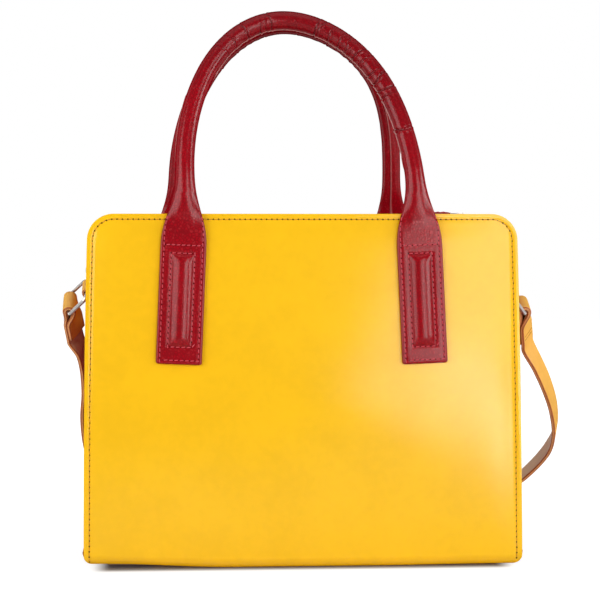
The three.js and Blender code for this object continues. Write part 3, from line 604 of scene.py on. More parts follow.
def leather(name, rgb, raw, roughness, gloss, grain, pebble, speckle):
    """Finished leather: mottled dye, pebbled grain, painted glints on a few pebbles, painted shade in the
    grips' creases and over their creased middle, raw lips, no gloss at grazing.
    """
    material, bench = bench_for(name)
    place = bench.place()
    cloud = bench.noise(18.0, 3.0, 0.55, place)
    blotch = bench.noise(160.0, 2.0, 0.5, place)
    dye = bench.ramp(cloud * 0.7 + blotch * 0.3, 0.32, 0.68)
    pebbles = bench.ramp(bench.cells(pebble, "DISTANCE_TO_EDGE", place), 0.02, 0.3)
    # A few random pebbles get a painted glint: a highlight mixed into the colour, in the raw edge's tint
    glint_cells = bench.ramp(bench.cells(pebble, "F1", place).other("Color"), 0.5, 0.85)
    pores = bench.noise(pebble * 2.2, 2.0, 0.6, place)
    depth = dye * (1 - speckle) + pebbles * speckle
    tone = bench.tones(depth, rgb, 0.97 - 0.42 * speckle, 1.02 + 0.18 * speckle)
    painted_glints = bench.mix(glint_cells * pebbles * speckle * 0.03, tone, opaque(raw))
    # Painted shade: the crease mark darkens the colour in the grips' creases and over their creased middle
    crease = bench.mark("crease")
    creased = bench.mix(crease, painted_glints, opaque(rgb, 0.3))
    lipped = bench.mix(bench.mark("lip"), creased, opaque(raw))
    shine = roughness + (0.5 - cloud) * 0.04 + (1 - pebbles) * 0.1 * speckle + crease * 0.1
    normal = bench.bump(pebbles * 0.65 + pores * 0.35, grain)
    shared = {"base_color": lipped, "roughness": shine, "normal": normal}
    glossy = bench.shader(specular_ior_level=gloss, **shared)
    plain = bench.shader(specular_ior_level=0.0, **shared)
    facing = bench.add("ShaderNodeLayerWeight", {}, {"Blend": 0.5}, "Facing")
    grazing = bench.ramp(facing, 0.3, 0.62)
    bench.output(bench.add("ShaderNodeMixShader", {}, {0: grazing, 1: glossy, 2: plain}))
    return material


def painted_edge(name, rgb, roughness):
    """Edge paint: thick and slightly uneven."""
    material, bench = bench_for(name)
    place = bench.place()
    cloud = bench.noise(220.0, 3.0, 0.6, place)
    fine = bench.noise(900.0, 2.0, 0.5, place)
    bench.surface(base_color=bench.tones(cloud, rgb, 0.8, 1.15), roughness=roughness + cloud * 0.1,
                  normal=bench.bump(fine, 0.00008))
    return material


def suede(name, rgb):
    """The brushed flesh side of the strap."""
    material, bench = bench_for(name)
    place = bench.place()
    cloud = bench.noise(60.0, 3.0, 0.6, place)
    nap = bench.noise(2400.0, 2.0, 0.7, place)
    bench.surface(base_color=bench.tones(cloud * 0.6 + nap * 0.4, rgb, 0.7, 1.3),
                  roughness=0.72 + nap * 0.15, sheen_weight=0.15, normal=bench.bump(nap, 0.0001))
    return material


def twisted_thread(name, rgb):
    """Waxed thread: fine ply marks and a soft gloss."""
    material, bench = bench_for(name)
    ply = bench.noise(2600.0, 1.0, 0.5, bench.place())
    bench.surface(base_color=bench.tones(ply, rgb, 0.72, 1.2), roughness=0.5 + ply * 0.15,
                  normal=bench.bump(ply, 0.0001))
    return material


def needle_hole_shade(name, rgb):
    """A needle hole's painted shade: a dull, dark disc laid on the leather."""
    material, bench = bench_for(name)
    dust = bench.noise(1500.0, 1.0, 0.5, bench.place())
    bench.surface(base_color=bench.tones(dust, rgb, 0.7, 1.2), roughness=0.9, specular_ior_level=0.05)
    return material


def woven_cloth(name, rgb, threads, depth, roughness):
    """Plain weave: two sets of fine ribs in turn over and under each other."""
    material, bench = bench_for(name)
    place = bench.place()
    x = bench.add("ShaderNodeSeparateXYZ", {}, {0: place})
    y, z = x.other(1), x.other(2)
    turn = 2 * math.pi * threads
    across = bench.add("ShaderNodeMath", {"operation": "SINE"}, {0: (x + y) * turn})
    along = bench.add("ShaderNodeMath", {"operation": "SINE"}, {0: (z + y * 0.5) * turn})
    weave = across * along * 0.5 + 0.5
    slub = bench.noise(90.0, 3.0, 0.6, place)
    bench.surface(base_color=bench.tones(weave * 0.6 + slub * 0.4, rgb, 0.75, 1.15),
                  roughness=roughness + slub * 0.08, normal=bench.bump(weave, depth))
    return material


def fibre_board(name, rgb):
    """Pressed fibre board: pale and dark flakes."""
    material, bench = bench_for(name)
    place = bench.place()
    flakes = bench.noise(700.0, 4.0, 0.7, place)
    cloud = bench.noise(40.0, 3.0, 0.5, place)
    bench.surface(base_color=bench.tones(flakes * 0.6 + cloud * 0.4, rgb, 0.7, 1.2),
                  roughness=0.85 + flakes * 0.1, normal=bench.bump(flakes, 0.0001))
    return material


def polished_nickel(name, rgb):
    """Plated metal with fine polishing lines and a few duller patches."""
    material, bench = bench_for(name)
    place = bench.place()
    lines = bench.noise(1800.0, 2.0, 0.5, place)
    haze = bench.noise(120.0, 3.0, 0.6, place)
    bench.surface(base_color=bench.tones(haze, rgb, 0.92, 1.0), metallic=1.0,
                  roughness=0.24 + haze * 0.1 + lines * 0.04, normal=bench.bump(lines, 0.00001))
    return material


def finish(key):
    """The material of that name, made the first time it is asked for.

    Leather takes its colour, its raw edge's colour, which also tints its painted glints, roughness, gloss,
    depth of grain, pebbles to a metre and how speckled they are; cloth its colour, threads to a metre, depth
    and roughness.
    """
    known = bpy.data.materials.get(key)
    if known is not None:
        return known
    look = bpy.context.scene.satchel_colours
    makers = {
        "yellow_hide": (leather, look.yellow, look.yellow, 0.14, 0.4, 0.000004, 1300.0, 0.05),
        "burgundy_hide": (leather, look.burgundy, look.raw_edge, 0.15, 0.3, 0.00004, 430.0, 0.7),
        "strap_hide": (leather, look.strap, look.strap, 0.32, 0.4, 0.00002, 1300.0, 0.1),
        "strap_back": (suede, look.strap_back),
        "edge_brown": (painted_edge, look.edge_brown, 0.4),
        "edge_core": (painted_edge, look.edge_core, 0.45),
        "edge_yellow": (painted_edge, look.edge_yellow, 0.2),
        "edge_burgundy": (painted_edge, tuple(c * 0.8 for c in look.burgundy), 0.32),
        "thread_yellow": (twisted_thread, look.thread_yellow),
        "thread_red": (twisted_thread, look.thread_red),
        "hole_yellow": (needle_hole_shade, look.hole_yellow),
        "hole_red": (needle_hole_shade, look.hole_red),
        "lining_cloth": (woven_cloth, look.lining, 900.0, 0.00015, 0.85),
        "zip_cloth": (woven_cloth, look.zip_tape, 700.0, 0.0002, 0.8),
        "fibre_board": (fibre_board, look.board),
        "nickel": (polished_nickel, look.nickel),
        "dark_nickel": (polished_nickel, look.dark_nickel),
    }
    maker, *values = makers[key]
    return maker(key, *values)


# Meshes

def make_piece(name, points, faces, finishes, slots=None, marks=None):
    """A smooth mesh piece; slots gives each face's material and marks values for its points."""
    mesh = bpy.data.meshes.new(name)
    mesh.from_pydata(np.asarray(points).reshape(-1, 3).tolist(), [], [tuple(f) for f in faces])
    mesh.polygons.foreach_set("use_smooth", [True] * len(mesh.polygons))
    for key in finishes:
        mesh.materials.append(finish(key))
    if slots is not None:
        mesh.polygons.foreach_set("material_index", np.asarray(slots, np.int32))
    for key, values in (marks or {}).items():
        attribute = mesh.attributes.new(key, "FLOAT", "POINT")
        attribute.data.foreach_set("value", np.asarray(values, np.float32).ravel())
    piece = bpy.data.objects.new(name, mesh)
    bpy.context.scene.collection.objects.link(piece)
    return piece


def face_out(piece):
    """Turns the faces of a closed mesh outwards."""
    shape = bmesh.new()
    shape.from_mesh(piece.data)
    bmesh.ops.recalc_face_normals(shape, faces=shape.faces)
    shape.to_mesh(piece.data)
    shape.free()
    return piece


def settle(piece):
    """Keeps the mesh that the piece's modifiers give, and drops them."""
    graph = bpy.context.evaluated_depsgraph_get()
    mesh = bpy.data.meshes.new_from_object(piece.evaluated_get(graph))
    piece.modifiers.clear()
    worn = piece.data
    piece.data = mesh
    bpy.data.meshes.remove(worn)
    return piece


def grid_faces(rows, columns, around=False, ring=False):
    """Quads of a grid of points, closed round its columns or into a ring of rows if asked."""
    faces = []
    for r in range(rows if ring else rows - 1):
        s = (r + 1) % rows
        for c in range(columns if around else columns - 1):
            d = (c + 1) % columns
            faces.append((r * columns + c, r * columns + d, s * columns + d, s * columns + c))
    return faces


def sheet_piece(name, rows, finishes, turned):
    """An open sheet through rows of points; turned makes its other side the outside."""
    grid = np.array(rows)
    faces = grid_faces(*grid.shape[:2])
    if turned:
        faces = [face[::-1] for face in faces]
    return make_piece(name, grid, faces, finishes)


def round_rims(piece, width, segments, sharpness):
    """Rounds a piece's edges that turn by more than an angle in degrees, and keeps the result."""
    bevel = piece.modifiers.new("rims", "BEVEL")
    bevel.width = width
    bevel.segments = segments
    bevel.limit_method = "ANGLE"
    bevel.angle_limit = math.radians(sharpness)
    settle(piece)


def thicken(piece, thickness, rounding, outwards=-1.0):
    """Gives an open sheet its thickness, with rounded rims in the piece's second material."""
    solid = piece.modifiers.new("thickness", "SOLIDIFY")
    solid.thickness = thickness
    solid.offset = outwards
    solid.use_even_offset = True
    solid.material_offset_rim = 1
    round_rims(piece, rounding, 3, 50)


def skin_rings(name, rings, finishes, slots=None, marks=None):
    """A closed piece through a row of rings, with its two ends filled and listed last in slots."""
    rows, columns = rings.shape[:2]
    faces = grid_faces(rows, columns, around=True)
    ends = [list(range(columns)), list(range((rows - 1) * columns, rows * columns))]
    return face_out(make_piece(name, rings, faces + ends, finishes, slots, marks))


def wire_loop(name, line, radius, key, sides):
    """A round wire bent into a closed loop."""
    line = np.asarray(line)
    ahead = unit(np.roll(line, -1, axis=0) - np.roll(line, 1, axis=0))
    flat = unit(np.cross(ahead[0], ahead[len(line) // 3]))
    out = np.cross(ahead, flat)
    turn = full_turn(sides)
    ring = (np.cos(turn)[None, :, None] * out[:, None, :]
            + np.sin(turn)[None, :, None] * flat[None, None, :])
    faces = grid_faces(len(line), sides, around=True, ring=True)
    return face_out(make_piece(name, line[:, None, :] + radius * ring, faces, [key]))


def unit(vectors):
    """Vectors drawn out or in to a length of 1."""
    vectors = np.asarray(vectors, float)
    return vectors / np.linalg.norm(vectors, axis=-1, keepdims=True)


def ease(value, low, high):
    """A smooth step from 0 at low to 1 at high."""
    share = np.clip((np.asarray(value, float) - low) / (high - low), 0, 1)
    return share * share * (3 - 2 * share)


def bell(value, width):
    """A smooth bump, 1 high at 0, that fades out over about its width."""
    return np.exp(-((value / width) ** 2))


def blunt(wave, power):
    """A sine or cosine pushed out towards 1, which turns a circle into a rounded square."""
    return np.sign(wave) * np.abs(wave) ** power


def quarter_round(share):
    """Height of a quarter circle of radius 1, from its foot at 0 to its top at 1."""
    return math.sqrt(1 - (1 - min(max(share, 0), 1)) ** 2)


def full_turn(count):
    """Evenly spread angles round a circle, in radians."""
    return np.linspace(0, 2 * np.pi, count, endpoint=False)


def arc(x, y, radius, start, end, count):
    """Points of an arc round a centre, between two angles in degrees."""
    turn = np.radians(np.linspace(start, end, count))
    return np.stack([x + radius * np.cos(turn), y + radius * np.sin(turn)], axis=1)


def run_along(points):
    """How far along a line each of its points lies."""
    steps = np.linalg.norm(np.diff(points, axis=0), axis=1)
    return np.concatenate([[0], np.cumsum(steps)])


def points_at(places, run, points):
    """Points of a line at places along it."""
    return np.stack([np.interp(places, run, points[:, k]) for k in range(3)], axis=1)


def averaged(rows):
    """Rows of values, each drawn towards its two neighbours."""
    soft = rows.copy()
    soft[1:-1] = (rows[:-2] + 2 * rows[1:-1] + rows[2:]) / 4
    return soft


# Shapes of the body that other pieces follow

def half_width(z, top=TOP_WIDTH, curve=SIDE_CURVE):
    """Half the width of the body's solids at height z, round corners left out."""
    share = np.clip(np.asarray(z, float) / (BODY_HEIGHT - UPPER_CORNER), 0, 1)
    return (BASE_WIDTH + (top - BASE_WIDTH) * share ** curve) / 2


def panel_half(z):
    """Half the width of the panels at height z, which stand out past the gussets."""
    return half_width(z, PANEL_TOP_WIDTH, PANEL_CURVE)


def outline_half(z, width=half_width):
    """Half the width at height z of an outline with round corners."""
    over = np.clip(z - (BODY_HEIGHT - UPPER_CORNER), 0, UPPER_CORNER)
    under = np.clip(LOWER_CORNER - z, 0, LOWER_CORNER)
    upper = UPPER_CORNER - np.sqrt(UPPER_CORNER ** 2 - over ** 2)
    lower = LOWER_CORNER - np.sqrt(LOWER_CORNER ** 2 - under ** 2)
    return width(z) - upper - lower


def half_depth(z):
    """Half the depth over the outside of the panels at height z."""
    return BASE_DEPTH / 2 - PANEL_LEAN * np.asarray(z, float) / BODY_HEIGHT


def edge_distance(x, z):
    """How far a point of a panel lies inside the panel's sewn edges."""
    corner_x = PANEL_TOP_WIDTH / 2 - UPPER_CORNER
    corner_z = BODY_HEIGHT - UPPER_CORNER
    reach = np.abs(x)
    rounded = UPPER_CORNER - np.hypot(reach - corner_x, z - corner_z)
    plain = np.minimum(panel_half(z) - reach, BODY_HEIGHT - z)
    return np.where((reach > corner_x) & (z > corner_z), rounded, plain)


def panel_swell(x, z):
    """How far the panel's leather stands out from its flat solid."""
    body = bpy.context.scene.satchel_body
    from_seam = edge_distance(x, z) - body.seam_inset
    roll = 1 - bell(np.maximum(from_seam, 0), body.seam_roll_width)
    groove = bell(from_seam, body.seam_groove_width)
    belly = (1 - (x / panel_half(z)) ** 2) * np.sin(np.pi * np.clip(z / BODY_HEIGHT, 0, 1))
    wave = math.prod(np.sin(a * x + b * z + c) for a, b, c in PANEL_WAVES)
    rise = body.seam_roll * roll + (body.belly + body.wave * wave) * belly - body.seam_groove * groove
    return rise * ease(z, 0.0, PANEL_CALM_HEIGHT)


def corner_lift(x, z):
    """How far the bottom of the bag stands off the floor towards its corners."""
    lift = bpy.context.scene.satchel_body.base_lift * np.where(x < 0, 1.0, RIGHT_LIFT_SHARE)
    return lift * ease(np.abs(x), *LIFT_SPAN) * np.clip(1 - z / LIFT_HEIGHT, 0, 1) ** 2


def gusset_edge(z):
    """Outer face of a gusset beside the panels at height z."""
    flare = np.maximum(1 - z / FOOT_FLARE_HEIGHT, 0)
    return half_width(z) - EDGE_RECESS + FOOT_FLARE * flare ** 2


def gusset_swell(z):
    """Swell of a gusset's middle at height z."""
    share = (z - PANEL_LEATHER) / (BODY_HEIGHT - UPPER_CORNER - PANEL_LEATHER)
    return GUSSET_BULGE * np.maximum(np.sin(np.pi * np.clip(share, 0, 1)), 0)


def flange_half(z):
    """Half the depth between the gussets' flanges at height z."""
    return half_depth(z) - PANEL_LEATHER - GAP


# Stitches

def along_line(points, pitch):
    """Points every pitch along a line, with the line's direction there."""
    points = np.asarray(points, float)
    run = run_along(points)
    count = max(int(round(run[-1] / pitch)), 1)
    places = np.linspace(0, run[-1], count + 1)
    step = pitch / 8
    ahead = points_at(places + step, run, points) - points_at(places - step, run, points)
    return points_at(places, run, points), unit(ahead)


def thread_shape(length, thickness):
    """Rings of one stitch along X, arched up along Z with its ends sunk."""
    turn = full_turn(THREAD_SIDES)
    rings = []
    for share, width in THREAD_STATIONS:
        radius = width * thickness / 2
        rise = thickness * (THREAD_ARCH - THREAD_SINK * share ** 2)
        x = np.full(THREAD_SIDES, share * length / 2)
        rings.append(np.stack([x, np.cos(turn) * radius, np.sin(turn) * radius / THREAD_FLATNESS + rise],
                              axis=1))
    return np.array(rings)


def sew(name, kind, lines, cloth, body):
    """Stitches along guide lines laid on a piece; each line is its points and the way to the piece.

    The guide lines run close over the surface, and each stitch drops onto it along that way.
    """
    pitch = bpy.context.scene.satchel_sewing.pitch
    dye, thickness, hole = SEAMS[kind]
    tree = BVHTree.FromPolygons([v.co for v in cloth.data.vertices],
                                [p.vertices for p in cloth.data.polygons])
    thread = thread_shape(pitch * STITCH_SHARE, thickness)
    thread_faces = grid_faces(*thread.shape[:2], around=True)
    thread = thread.reshape(-1, 3)
    # Each needle hole is a flat disc that carries the painted shade of the hole
    turn = full_turn(HOLE_SIDES)
    disc = np.stack([np.cos(turn) * hole / 2 * HOLE_STRETCH, np.sin(turn) * hole / 2,
                     np.full(HOLE_SIDES, HOLE_RISE)], axis=1)
    points, faces, slots = [], [], []
    count = 0
    for guide, way in lines:
        spots, ahead = along_line(guide, pitch)
        way = Vector(way).normalized()
        for i, (spot, direction) in enumerate(zip(spots, ahead)):
            parts = [(spot, disc, [range(HOLE_SIDES)], 0.0, 1)]
            if i < len(spots) - 1:
                parts.append((spot + direction * pitch / 2, thread, thread_faces, STITCH_LEAN, 0))
            for at, shape, shape_faces, lean, slot in parts:
                hit, normal, _, _ = tree.ray_cast(Vector(at) - way * DROP_START, way, DROP_REACH)
                if hit is None:
                    continue
                up = np.array(normal) * (-1 if normal.dot(way) > 0 else 1)
                side = unit(np.cross(up, direction))
                fore = np.cross(side, up) * math.cos(lean) + side * math.sin(lean)
                points.append(np.array(hit) + shape @ np.array([fore, np.cross(up, fore), up]))
                faces += [tuple(count + k for k in face) for face in shape_faces]
                slots += [slot] * len(shape_faces)
                count += len(shape)
    piece = make_piece(name, np.concatenate(points), faces, [f"thread_{dye}", f"hole_{dye}"], slots)
    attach(piece, body)
    return piece


# The body

def wrap_line():
    """The wrap's outside seen from the side, from the front's top edge round the base to the back's.

    Each row is y, z and the outward direction there.
    """
    slope = PANEL_SLOPE
    fold_top = FOLD_RADIUS * (1 + math.sin(slope))
    centre_y = float(half_depth(fold_top)) - FOLD_RADIUS * math.cos(slope)
    turned = np.radians(np.linspace(90, 0, 19))
    round_heights = BODY_HEIGHT - UPPER_CORNER * (1 - np.sin(turned))
    heights = [*round_heights, *np.linspace(BODY_HEIGHT - UPPER_CORNER, fold_top, 44)[1:]]
    rows = [(float(half_depth(z)), z, math.cos(slope), math.sin(slope)) for z in heights]
    for angle in np.linspace(slope, -math.pi / 2, 13)[1:]:
        rows.append((centre_y + FOLD_RADIUS * math.cos(angle), FOLD_RADIUS * (1 + math.sin(angle)),
                     math.cos(angle), math.sin(angle)))
    rows += [(y, 0.0, 0.0, -1.0) for y in np.linspace(centre_y, 0, 9)[1:]]
    front = [(-y, z, -out, up) for y, z, out, up in rows]
    return np.array(front + rows[-2::-1])


def wrap_columns(half):
    """Places across the wrap, closer together at its edges."""
    inner = half - WRAP_MIDDLE_INSET
    middle = np.linspace(-inner, inner, 28)
    return np.concatenate([-half + WRAP_BORDER, middle, (half - WRAP_BORDER)[::-1]])


def make_wrap():
    """The front panel, base and back panel in one sheet of leather."""
    rows = []
    for y, z, out, up in wrap_line():
        x = wrap_columns(float(outline_half(z, panel_half)))
        rise = panel_swell(x, np.full_like(x, z))
        lift = corner_lift(x, np.full_like(x, z))
        rows.append(np.stack([x, y + out * rise, z + up * rise + lift], axis=1))
    piece = sheet_piece("wrap_leather", rows, ["yellow_hide", "edge_yellow"], turned=True)
    thicken(piece, PANEL_LEATHER, PANEL_ROUNDING)
    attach(piece, "bag")
    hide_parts("body_wrap")
    return piece


def panel_seam(side):
    """The stitch line of a panel: up one side, over the top and down the other."""
    inset = bpy.context.scene.satchel_body.seam_inset
    corner_x = PANEL_TOP_WIDTH / 2 - UPPER_CORNER
    corner_z = BODY_HEIGHT - UPPER_CORNER
    right = [(float(panel_half(z)) - inset, z) for z in np.linspace(PANEL_SEAM_FOOT, corner_z, 30)]
    right += [*arc(corner_x, corner_z, UPPER_CORNER - inset, 0, 90, 16)[1:]]
    outline = [(-x, z) for x, z in right] + right[::-1]
    guide = [(x, side * (float(half_depth(z)) + GUIDE_CLEARANCE), z) for x, z in outline]
    return guide, (0, -side, 0)


class SATCHEL_OT_body(Operator):
    """Make the yellow leather wrap, sew its panels and finish the boards behind them"""

    bl_idname = "satchel.body"
    bl_label = "Body"

    def execute(self, context):
        wrap = make_wrap()
        for name, side in PANELS:
            sew(f"{name}_panel_stitches", "panel", [panel_seam(side)], wrap, "bag")
        for name in ("front_stiffener", "back_stiffener", "base_board"):
            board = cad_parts[name]
            board.data.materials.clear()
            board.data.materials.append(finish("fibre_board"))
        return {"FINISHED"}


# The gussets

def gusset_path(side):
    """Rows of a gusset's middle line from its foot over the upper corner: x, z and outward angle."""
    foot_level = PANEL_LEATHER + GAP
    bend = foot_level + FOOT_RADIUS
    foot_centre = float(gusset_edge(bend)) - FOOT_RADIUS
    rows = [(foot_centre - FOOT_TURN, foot_level, -math.pi / 2)]
    for angle in np.linspace(-math.pi / 2, 0, 9):
        rows.append((foot_centre + FOOT_RADIUS * math.cos(angle), bend + FOOT_RADIUS * math.sin(angle),
                     angle))
    straight_top = BODY_HEIGHT - UPPER_CORNER
    slot_foot = BODY_HEIGHT - ZIP_SIDE_DROP
    for z in [*np.linspace(bend, slot_foot, 46)[1:], *np.linspace(slot_foot, straight_top, 8)[1:-1]]:
        rows.append((float(gusset_edge(z)), z, 0.0))
    reach = UPPER_CORNER - EDGE_RECESS
    corner_x = TOP_WIDTH / 2 - UPPER_CORNER
    for angle in np.linspace(0, math.pi / 2, 15):
        rows.append((corner_x + reach * math.cos(angle), straight_top + reach * math.sin(angle), angle))
    for x in np.linspace(corner_x, FLAP_LENGTH / 2 + GAP, 8)[1:]:
        rows.append((x, BODY_HEIGHT - EDGE_RECESS, math.pi / 2))
    return [(side * x, z, angle) for x, z, angle in rows]


def on_gusset(side, row, y, rise):
    """A point at y across a gusset's row, that far out from its outer face."""
    x, z, angle = row
    half = float(flange_half(z))
    if angle < 0:
        rise = max(rise, -FOOT_RADIUS / 2)
    out = rise + float(gusset_swell(z)) * max(1 - (y / half) ** 2, 0)
    lift = float(corner_lift(np.array(x), np.array(z)))
    return (x + side * math.cos(angle) * out, y, z + math.sin(angle) * out + lift)


def gusset_columns(half):
    """Across a gusset: pairs of y and rise, from one flange over the web to the other."""
    flange = [(half, -FLANGE_WIDTH), (half, -FLANGE_WIDTH * 0.6), (half, -FLANGE_BEND * 1.5)]
    bend = [*arc(half - FLANGE_BEND, -FLANGE_BEND, FLANGE_BEND, 0, 90, 4)]
    web = [(y, 0.0) for y in np.linspace(half - FLANGE_BEND, ZIP_SLOT / 2, 12)[1:]]
    near = flange + bend + web
    return near + [(0.0, 0.0)] + [(-y, rise) for y, rise in reversed(near)]


def make_gusset(name, side):
    """A side of the bag with its flanges, open where the zip runs down it."""
    path = gusset_path(side)
    grid = np.array([[on_gusset(side, row, y, rise)
                      for y, rise in gusset_columns(float(flange_half(row[1])))] for row in path])
    rows, columns = grid.shape[:2]
    middle = columns // 2
    slot_foot = BODY_HEIGHT - ZIP_SIDE_DROP - 1e-6
    faces = []
    for face in grid_faces(rows, columns):
        row, column = divmod(face[0], columns)
        if column in (middle - 1, middle) and path[row][1] >= slot_foot:
            continue
        faces.append(face[::-1] if side > 0 else face)
    piece = make_piece(f"{name}_gusset_leather", grid, faces, ["burgundy_hide", "edge_burgundy"])
    keep_used(piece)
    thicken(piece, GUSSET_LEATHER, THIN_ROUNDING)
    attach(piece, "bag")
    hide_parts(f"{name}_gusset")
    return piece


def keep_used(piece):
    """Drops the points that no face uses."""
    shape = bmesh.new()
    shape.from_mesh(piece.data)
    bmesh.ops.delete(shape, geom=[v for v in shape.verts if not v.link_faces], context="VERTS")
    shape.to_mesh(piece.data)
    shape.free()


def slot_seams(side):
    """Stitch lines beside the zip's slot in a gusset, and across its foot."""
    path = gusset_path(side)
    slot_foot = BODY_HEIGHT - ZIP_SIDE_DROP
    seam_foot = slot_foot - SLOT_SEAM_OFFSET
    off = ZIP_SLOT / 2 + SLOT_SEAM_OFFSET
    upright = [row for row in path if row[1] >= slot_foot - SLOT_SEAM_PAST and row[2] < SHOULDER_ANGLE]
    over = [row for row in path if row[2] >= SHOULDER_ANGLE]
    lines = []
    for y in (off, -off):
        lines.append(([on_gusset(side, row, y, SLOT_GUIDE_RISE) for row in upright], (-side, 0, 0)))
        lines.append(([on_gusset(side, row, y, SLOT_GUIDE_RISE) for row in over],
                      (-side * SHOULDER_WAY, 0, -1)))
    foot = (side * float(gusset_edge(seam_foot)), seam_foot, 0.0)
    lines.append(([on_gusset(side, foot, y, GUIDE_CLEARANCE) for y in (-off, 0, off)], (-side, 0, 0)))
    return lines


class SATCHEL_OT_gussets(Operator):
    """Make both burgundy side gussets and sew their zip slots"""

    bl_idname = "satchel.gussets"
    bl_label = "Gussets"

    def execute(self, context):
        for name, side in ENDS:
            gusset = make_gusset(name, side)
            sew(f"{name}_gusset_stitches", "strip", slot_seams(side), gusset, "bag")
        return {"FINISHED"}


# The lining

def make_lining_wrap():
    """The rippled cloth down the front, across the base and up the back."""
    ripple = bpy.context.scene.satchel_body.lining_ripple
    bend_top = LINING_BASE + LINING_BEND
    corner_y = float(half_depth(bend_top)) - LINING_INSET - LINING_BEND
    rows = [(float(half_depth(z)) - LINING_INSET, z) for z in np.linspace(LINING_TOP, bend_top, 40)]
    rows += [*arc(corner_y, bend_top, LINING_BEND, 0, -90, 7)[1:]]
    rows += [(y, LINING_BASE) for y in np.linspace(corner_y, 0, 8)[1:]]
    line = [(-y, z) for y, z in rows] + rows[-2::-1]
    grid = []
    for i, (y, z) in enumerate(line):
        half = float(outline_half(max(z, LOWER_CORNER))) - LINING_MARGIN
        x = np.linspace(-half, half, 60)
        wave = np.sin(x * 95 + 2.1 * math.sin(i * 0.23)) * np.sin(i * 0.31 + x * 12)
        inward = -np.sign(y) * ripple * (0.5 + 0.5 * wave) * min(abs(y) / LINING_CALM_DEPTH, 1)
        grid.append(np.stack([x, y + inward, np.full_like(x, z)], axis=1))
    piece = sheet_piece("lining_cloth", grid, ["lining_cloth", "lining_cloth"], turned=True)
    thicken(piece, LINING_CLOTH, CLOTH_ROUNDING)
    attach(piece, "bag")
    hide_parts("lining_wrap")


def make_side_lining(name, side):
    """The rippled cloth inside a gusset."""
    ripple = bpy.context.scene.satchel_body.lining_ripple
    inset = EDGE_RECESS + GUSSET_LEATHER + GAP
    grid = []
    for i, z in enumerate(np.linspace(SIDE_LINING_FOOT, SIDE_LINING_TOP, 40)):
        half = float(half_depth(z)) - SIDE_LINING_INSET
        y = np.linspace(-half, half, 26)
        wave = np.sin(y * 110 + 1.7 * math.sin(i * 0.27)) * math.sin(i * 0.36)
        x = side * (float(half_width(z)) - inset - ripple * (0.5 + 0.5 * wave))
        grid.append(np.stack([x, y, np.full_like(y, z)], axis=1))
    piece = sheet_piece(f"{name}_lining_cloth", grid, ["lining_cloth", "lining_cloth"], turned=side > 0)
    thicken(piece, LINING_CLOTH, CLOTH_ROUNDING, outwards=1.0)
    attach(piece, "bag")
    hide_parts(f"{name}_lining")


class SATCHEL_OT_lining(Operator):
    """Make the cotton lining inside the walls"""

    bl_idname = "satchel.lining"
    bl_label = "Lining"

    def execute(self, context):
        make_lining_wrap()
        for name, side in ENDS:
            make_side_lining(name, side)
        return {"FINISHED"}


# The zip, with the place across the bag where its flaps turn

FLAP_HINGE = float(half_depth(STRIP_MIDDLE)) - BEHIND_PANEL - STRIP_LEATHER * 1.5 - GAP


def make_flap(name, side):
    """The leather that lines the panel's top edge and turns in to carry the zip."""
    middle = BEHIND_PANEL + STRIP_LEATHER / 2
    bend = float(half_depth(STRIP_MIDDLE - FLAP_BEND_DROP)) - middle - FLAP_HINGE
    bend_foot = STRIP_MIDDLE - bend
    line = [(float(half_depth(z)) - middle, z)
            for z in np.linspace(BODY_HEIGHT - FACING_DROP, bend_foot, 10)]
    line += [*arc(FLAP_HINGE, bend_foot, bend, 0, 90, 8)[1:]]
    line += [(y, STRIP_MIDDLE) for y in np.linspace(FLAP_HINGE, ZIP_SLOT / 2, 20)[1:]]
    x = np.linspace(-FLAP_LENGTH / 2, FLAP_LENGTH / 2, 80)
    ripple = 1 + FLAP_RIPPLE * np.sin(x * 55) * np.sin(x * 23 + 1)
    grid = []
    for y, z in line:
        sag = FLAP_SAG * np.sin(np.clip((FLAP_HINGE - y) / FLAP_HINGE, 0, 1) * np.pi)
        grid.append(np.stack([x, np.full_like(x, side * y), z - sag * ripple], axis=1))
    piece = sheet_piece(f"{name}_zip_leather", grid, ["burgundy_hide", "edge_burgundy"], turned=side > 0)
    thicken(piece, STRIP_LEATHER, THIN_ROUNDING, outwards=0.0)
    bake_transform(piece)
    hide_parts(f"{name}_facing", f"{name}_zip_strip")
    seam_end = FLAP_LENGTH / 2 - FLAP_SEAM_END
    seam_y = side * (ZIP_SLOT / 2 + SLOT_SEAM_OFFSET)
    guide = [(end, seam_y, STRIP_TOP + SLOT_GUIDE_RISE) for end in (-seam_end, seam_end)]
    sew(f"{name}_zip_stitches", "strip", [(guide, (0, 0, -1))], piece, f"{name}_flap")


def make_tape(name, rows, body, node):
    """A strip of woven tape through rows of two points."""
    grid = [[np.array(a) * (1 - t) + np.array(b) * t for t in np.linspace(0, 1, 7)] for a, b in rows]
    piece = sheet_piece(name, grid, ["zip_cloth", "zip_cloth"], turned=False)
    thicken(piece, ZIP_TAPE_THICKNESS, CLOTH_ROUNDING, outwards=0.0)
    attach(piece, body)
    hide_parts(node)


def tooth_shape(reach, width, height):
    """One zip tooth: a foot clamped on the tape that narrows to a rounded, dimpled head."""
    outline = np.array(TOOTH_OUTLINE) * [reach, width]
    middle = np.array([reach / 2, 0.0])
    top = middle + (outline - middle) * TOOTH_HEAD
    layers = ((outline, 0.0), (outline, height * TOOTH_SHOULDER), (top, height))
    return np.array([[(y, x, level) for y, x in layer] for layer, level in layers])


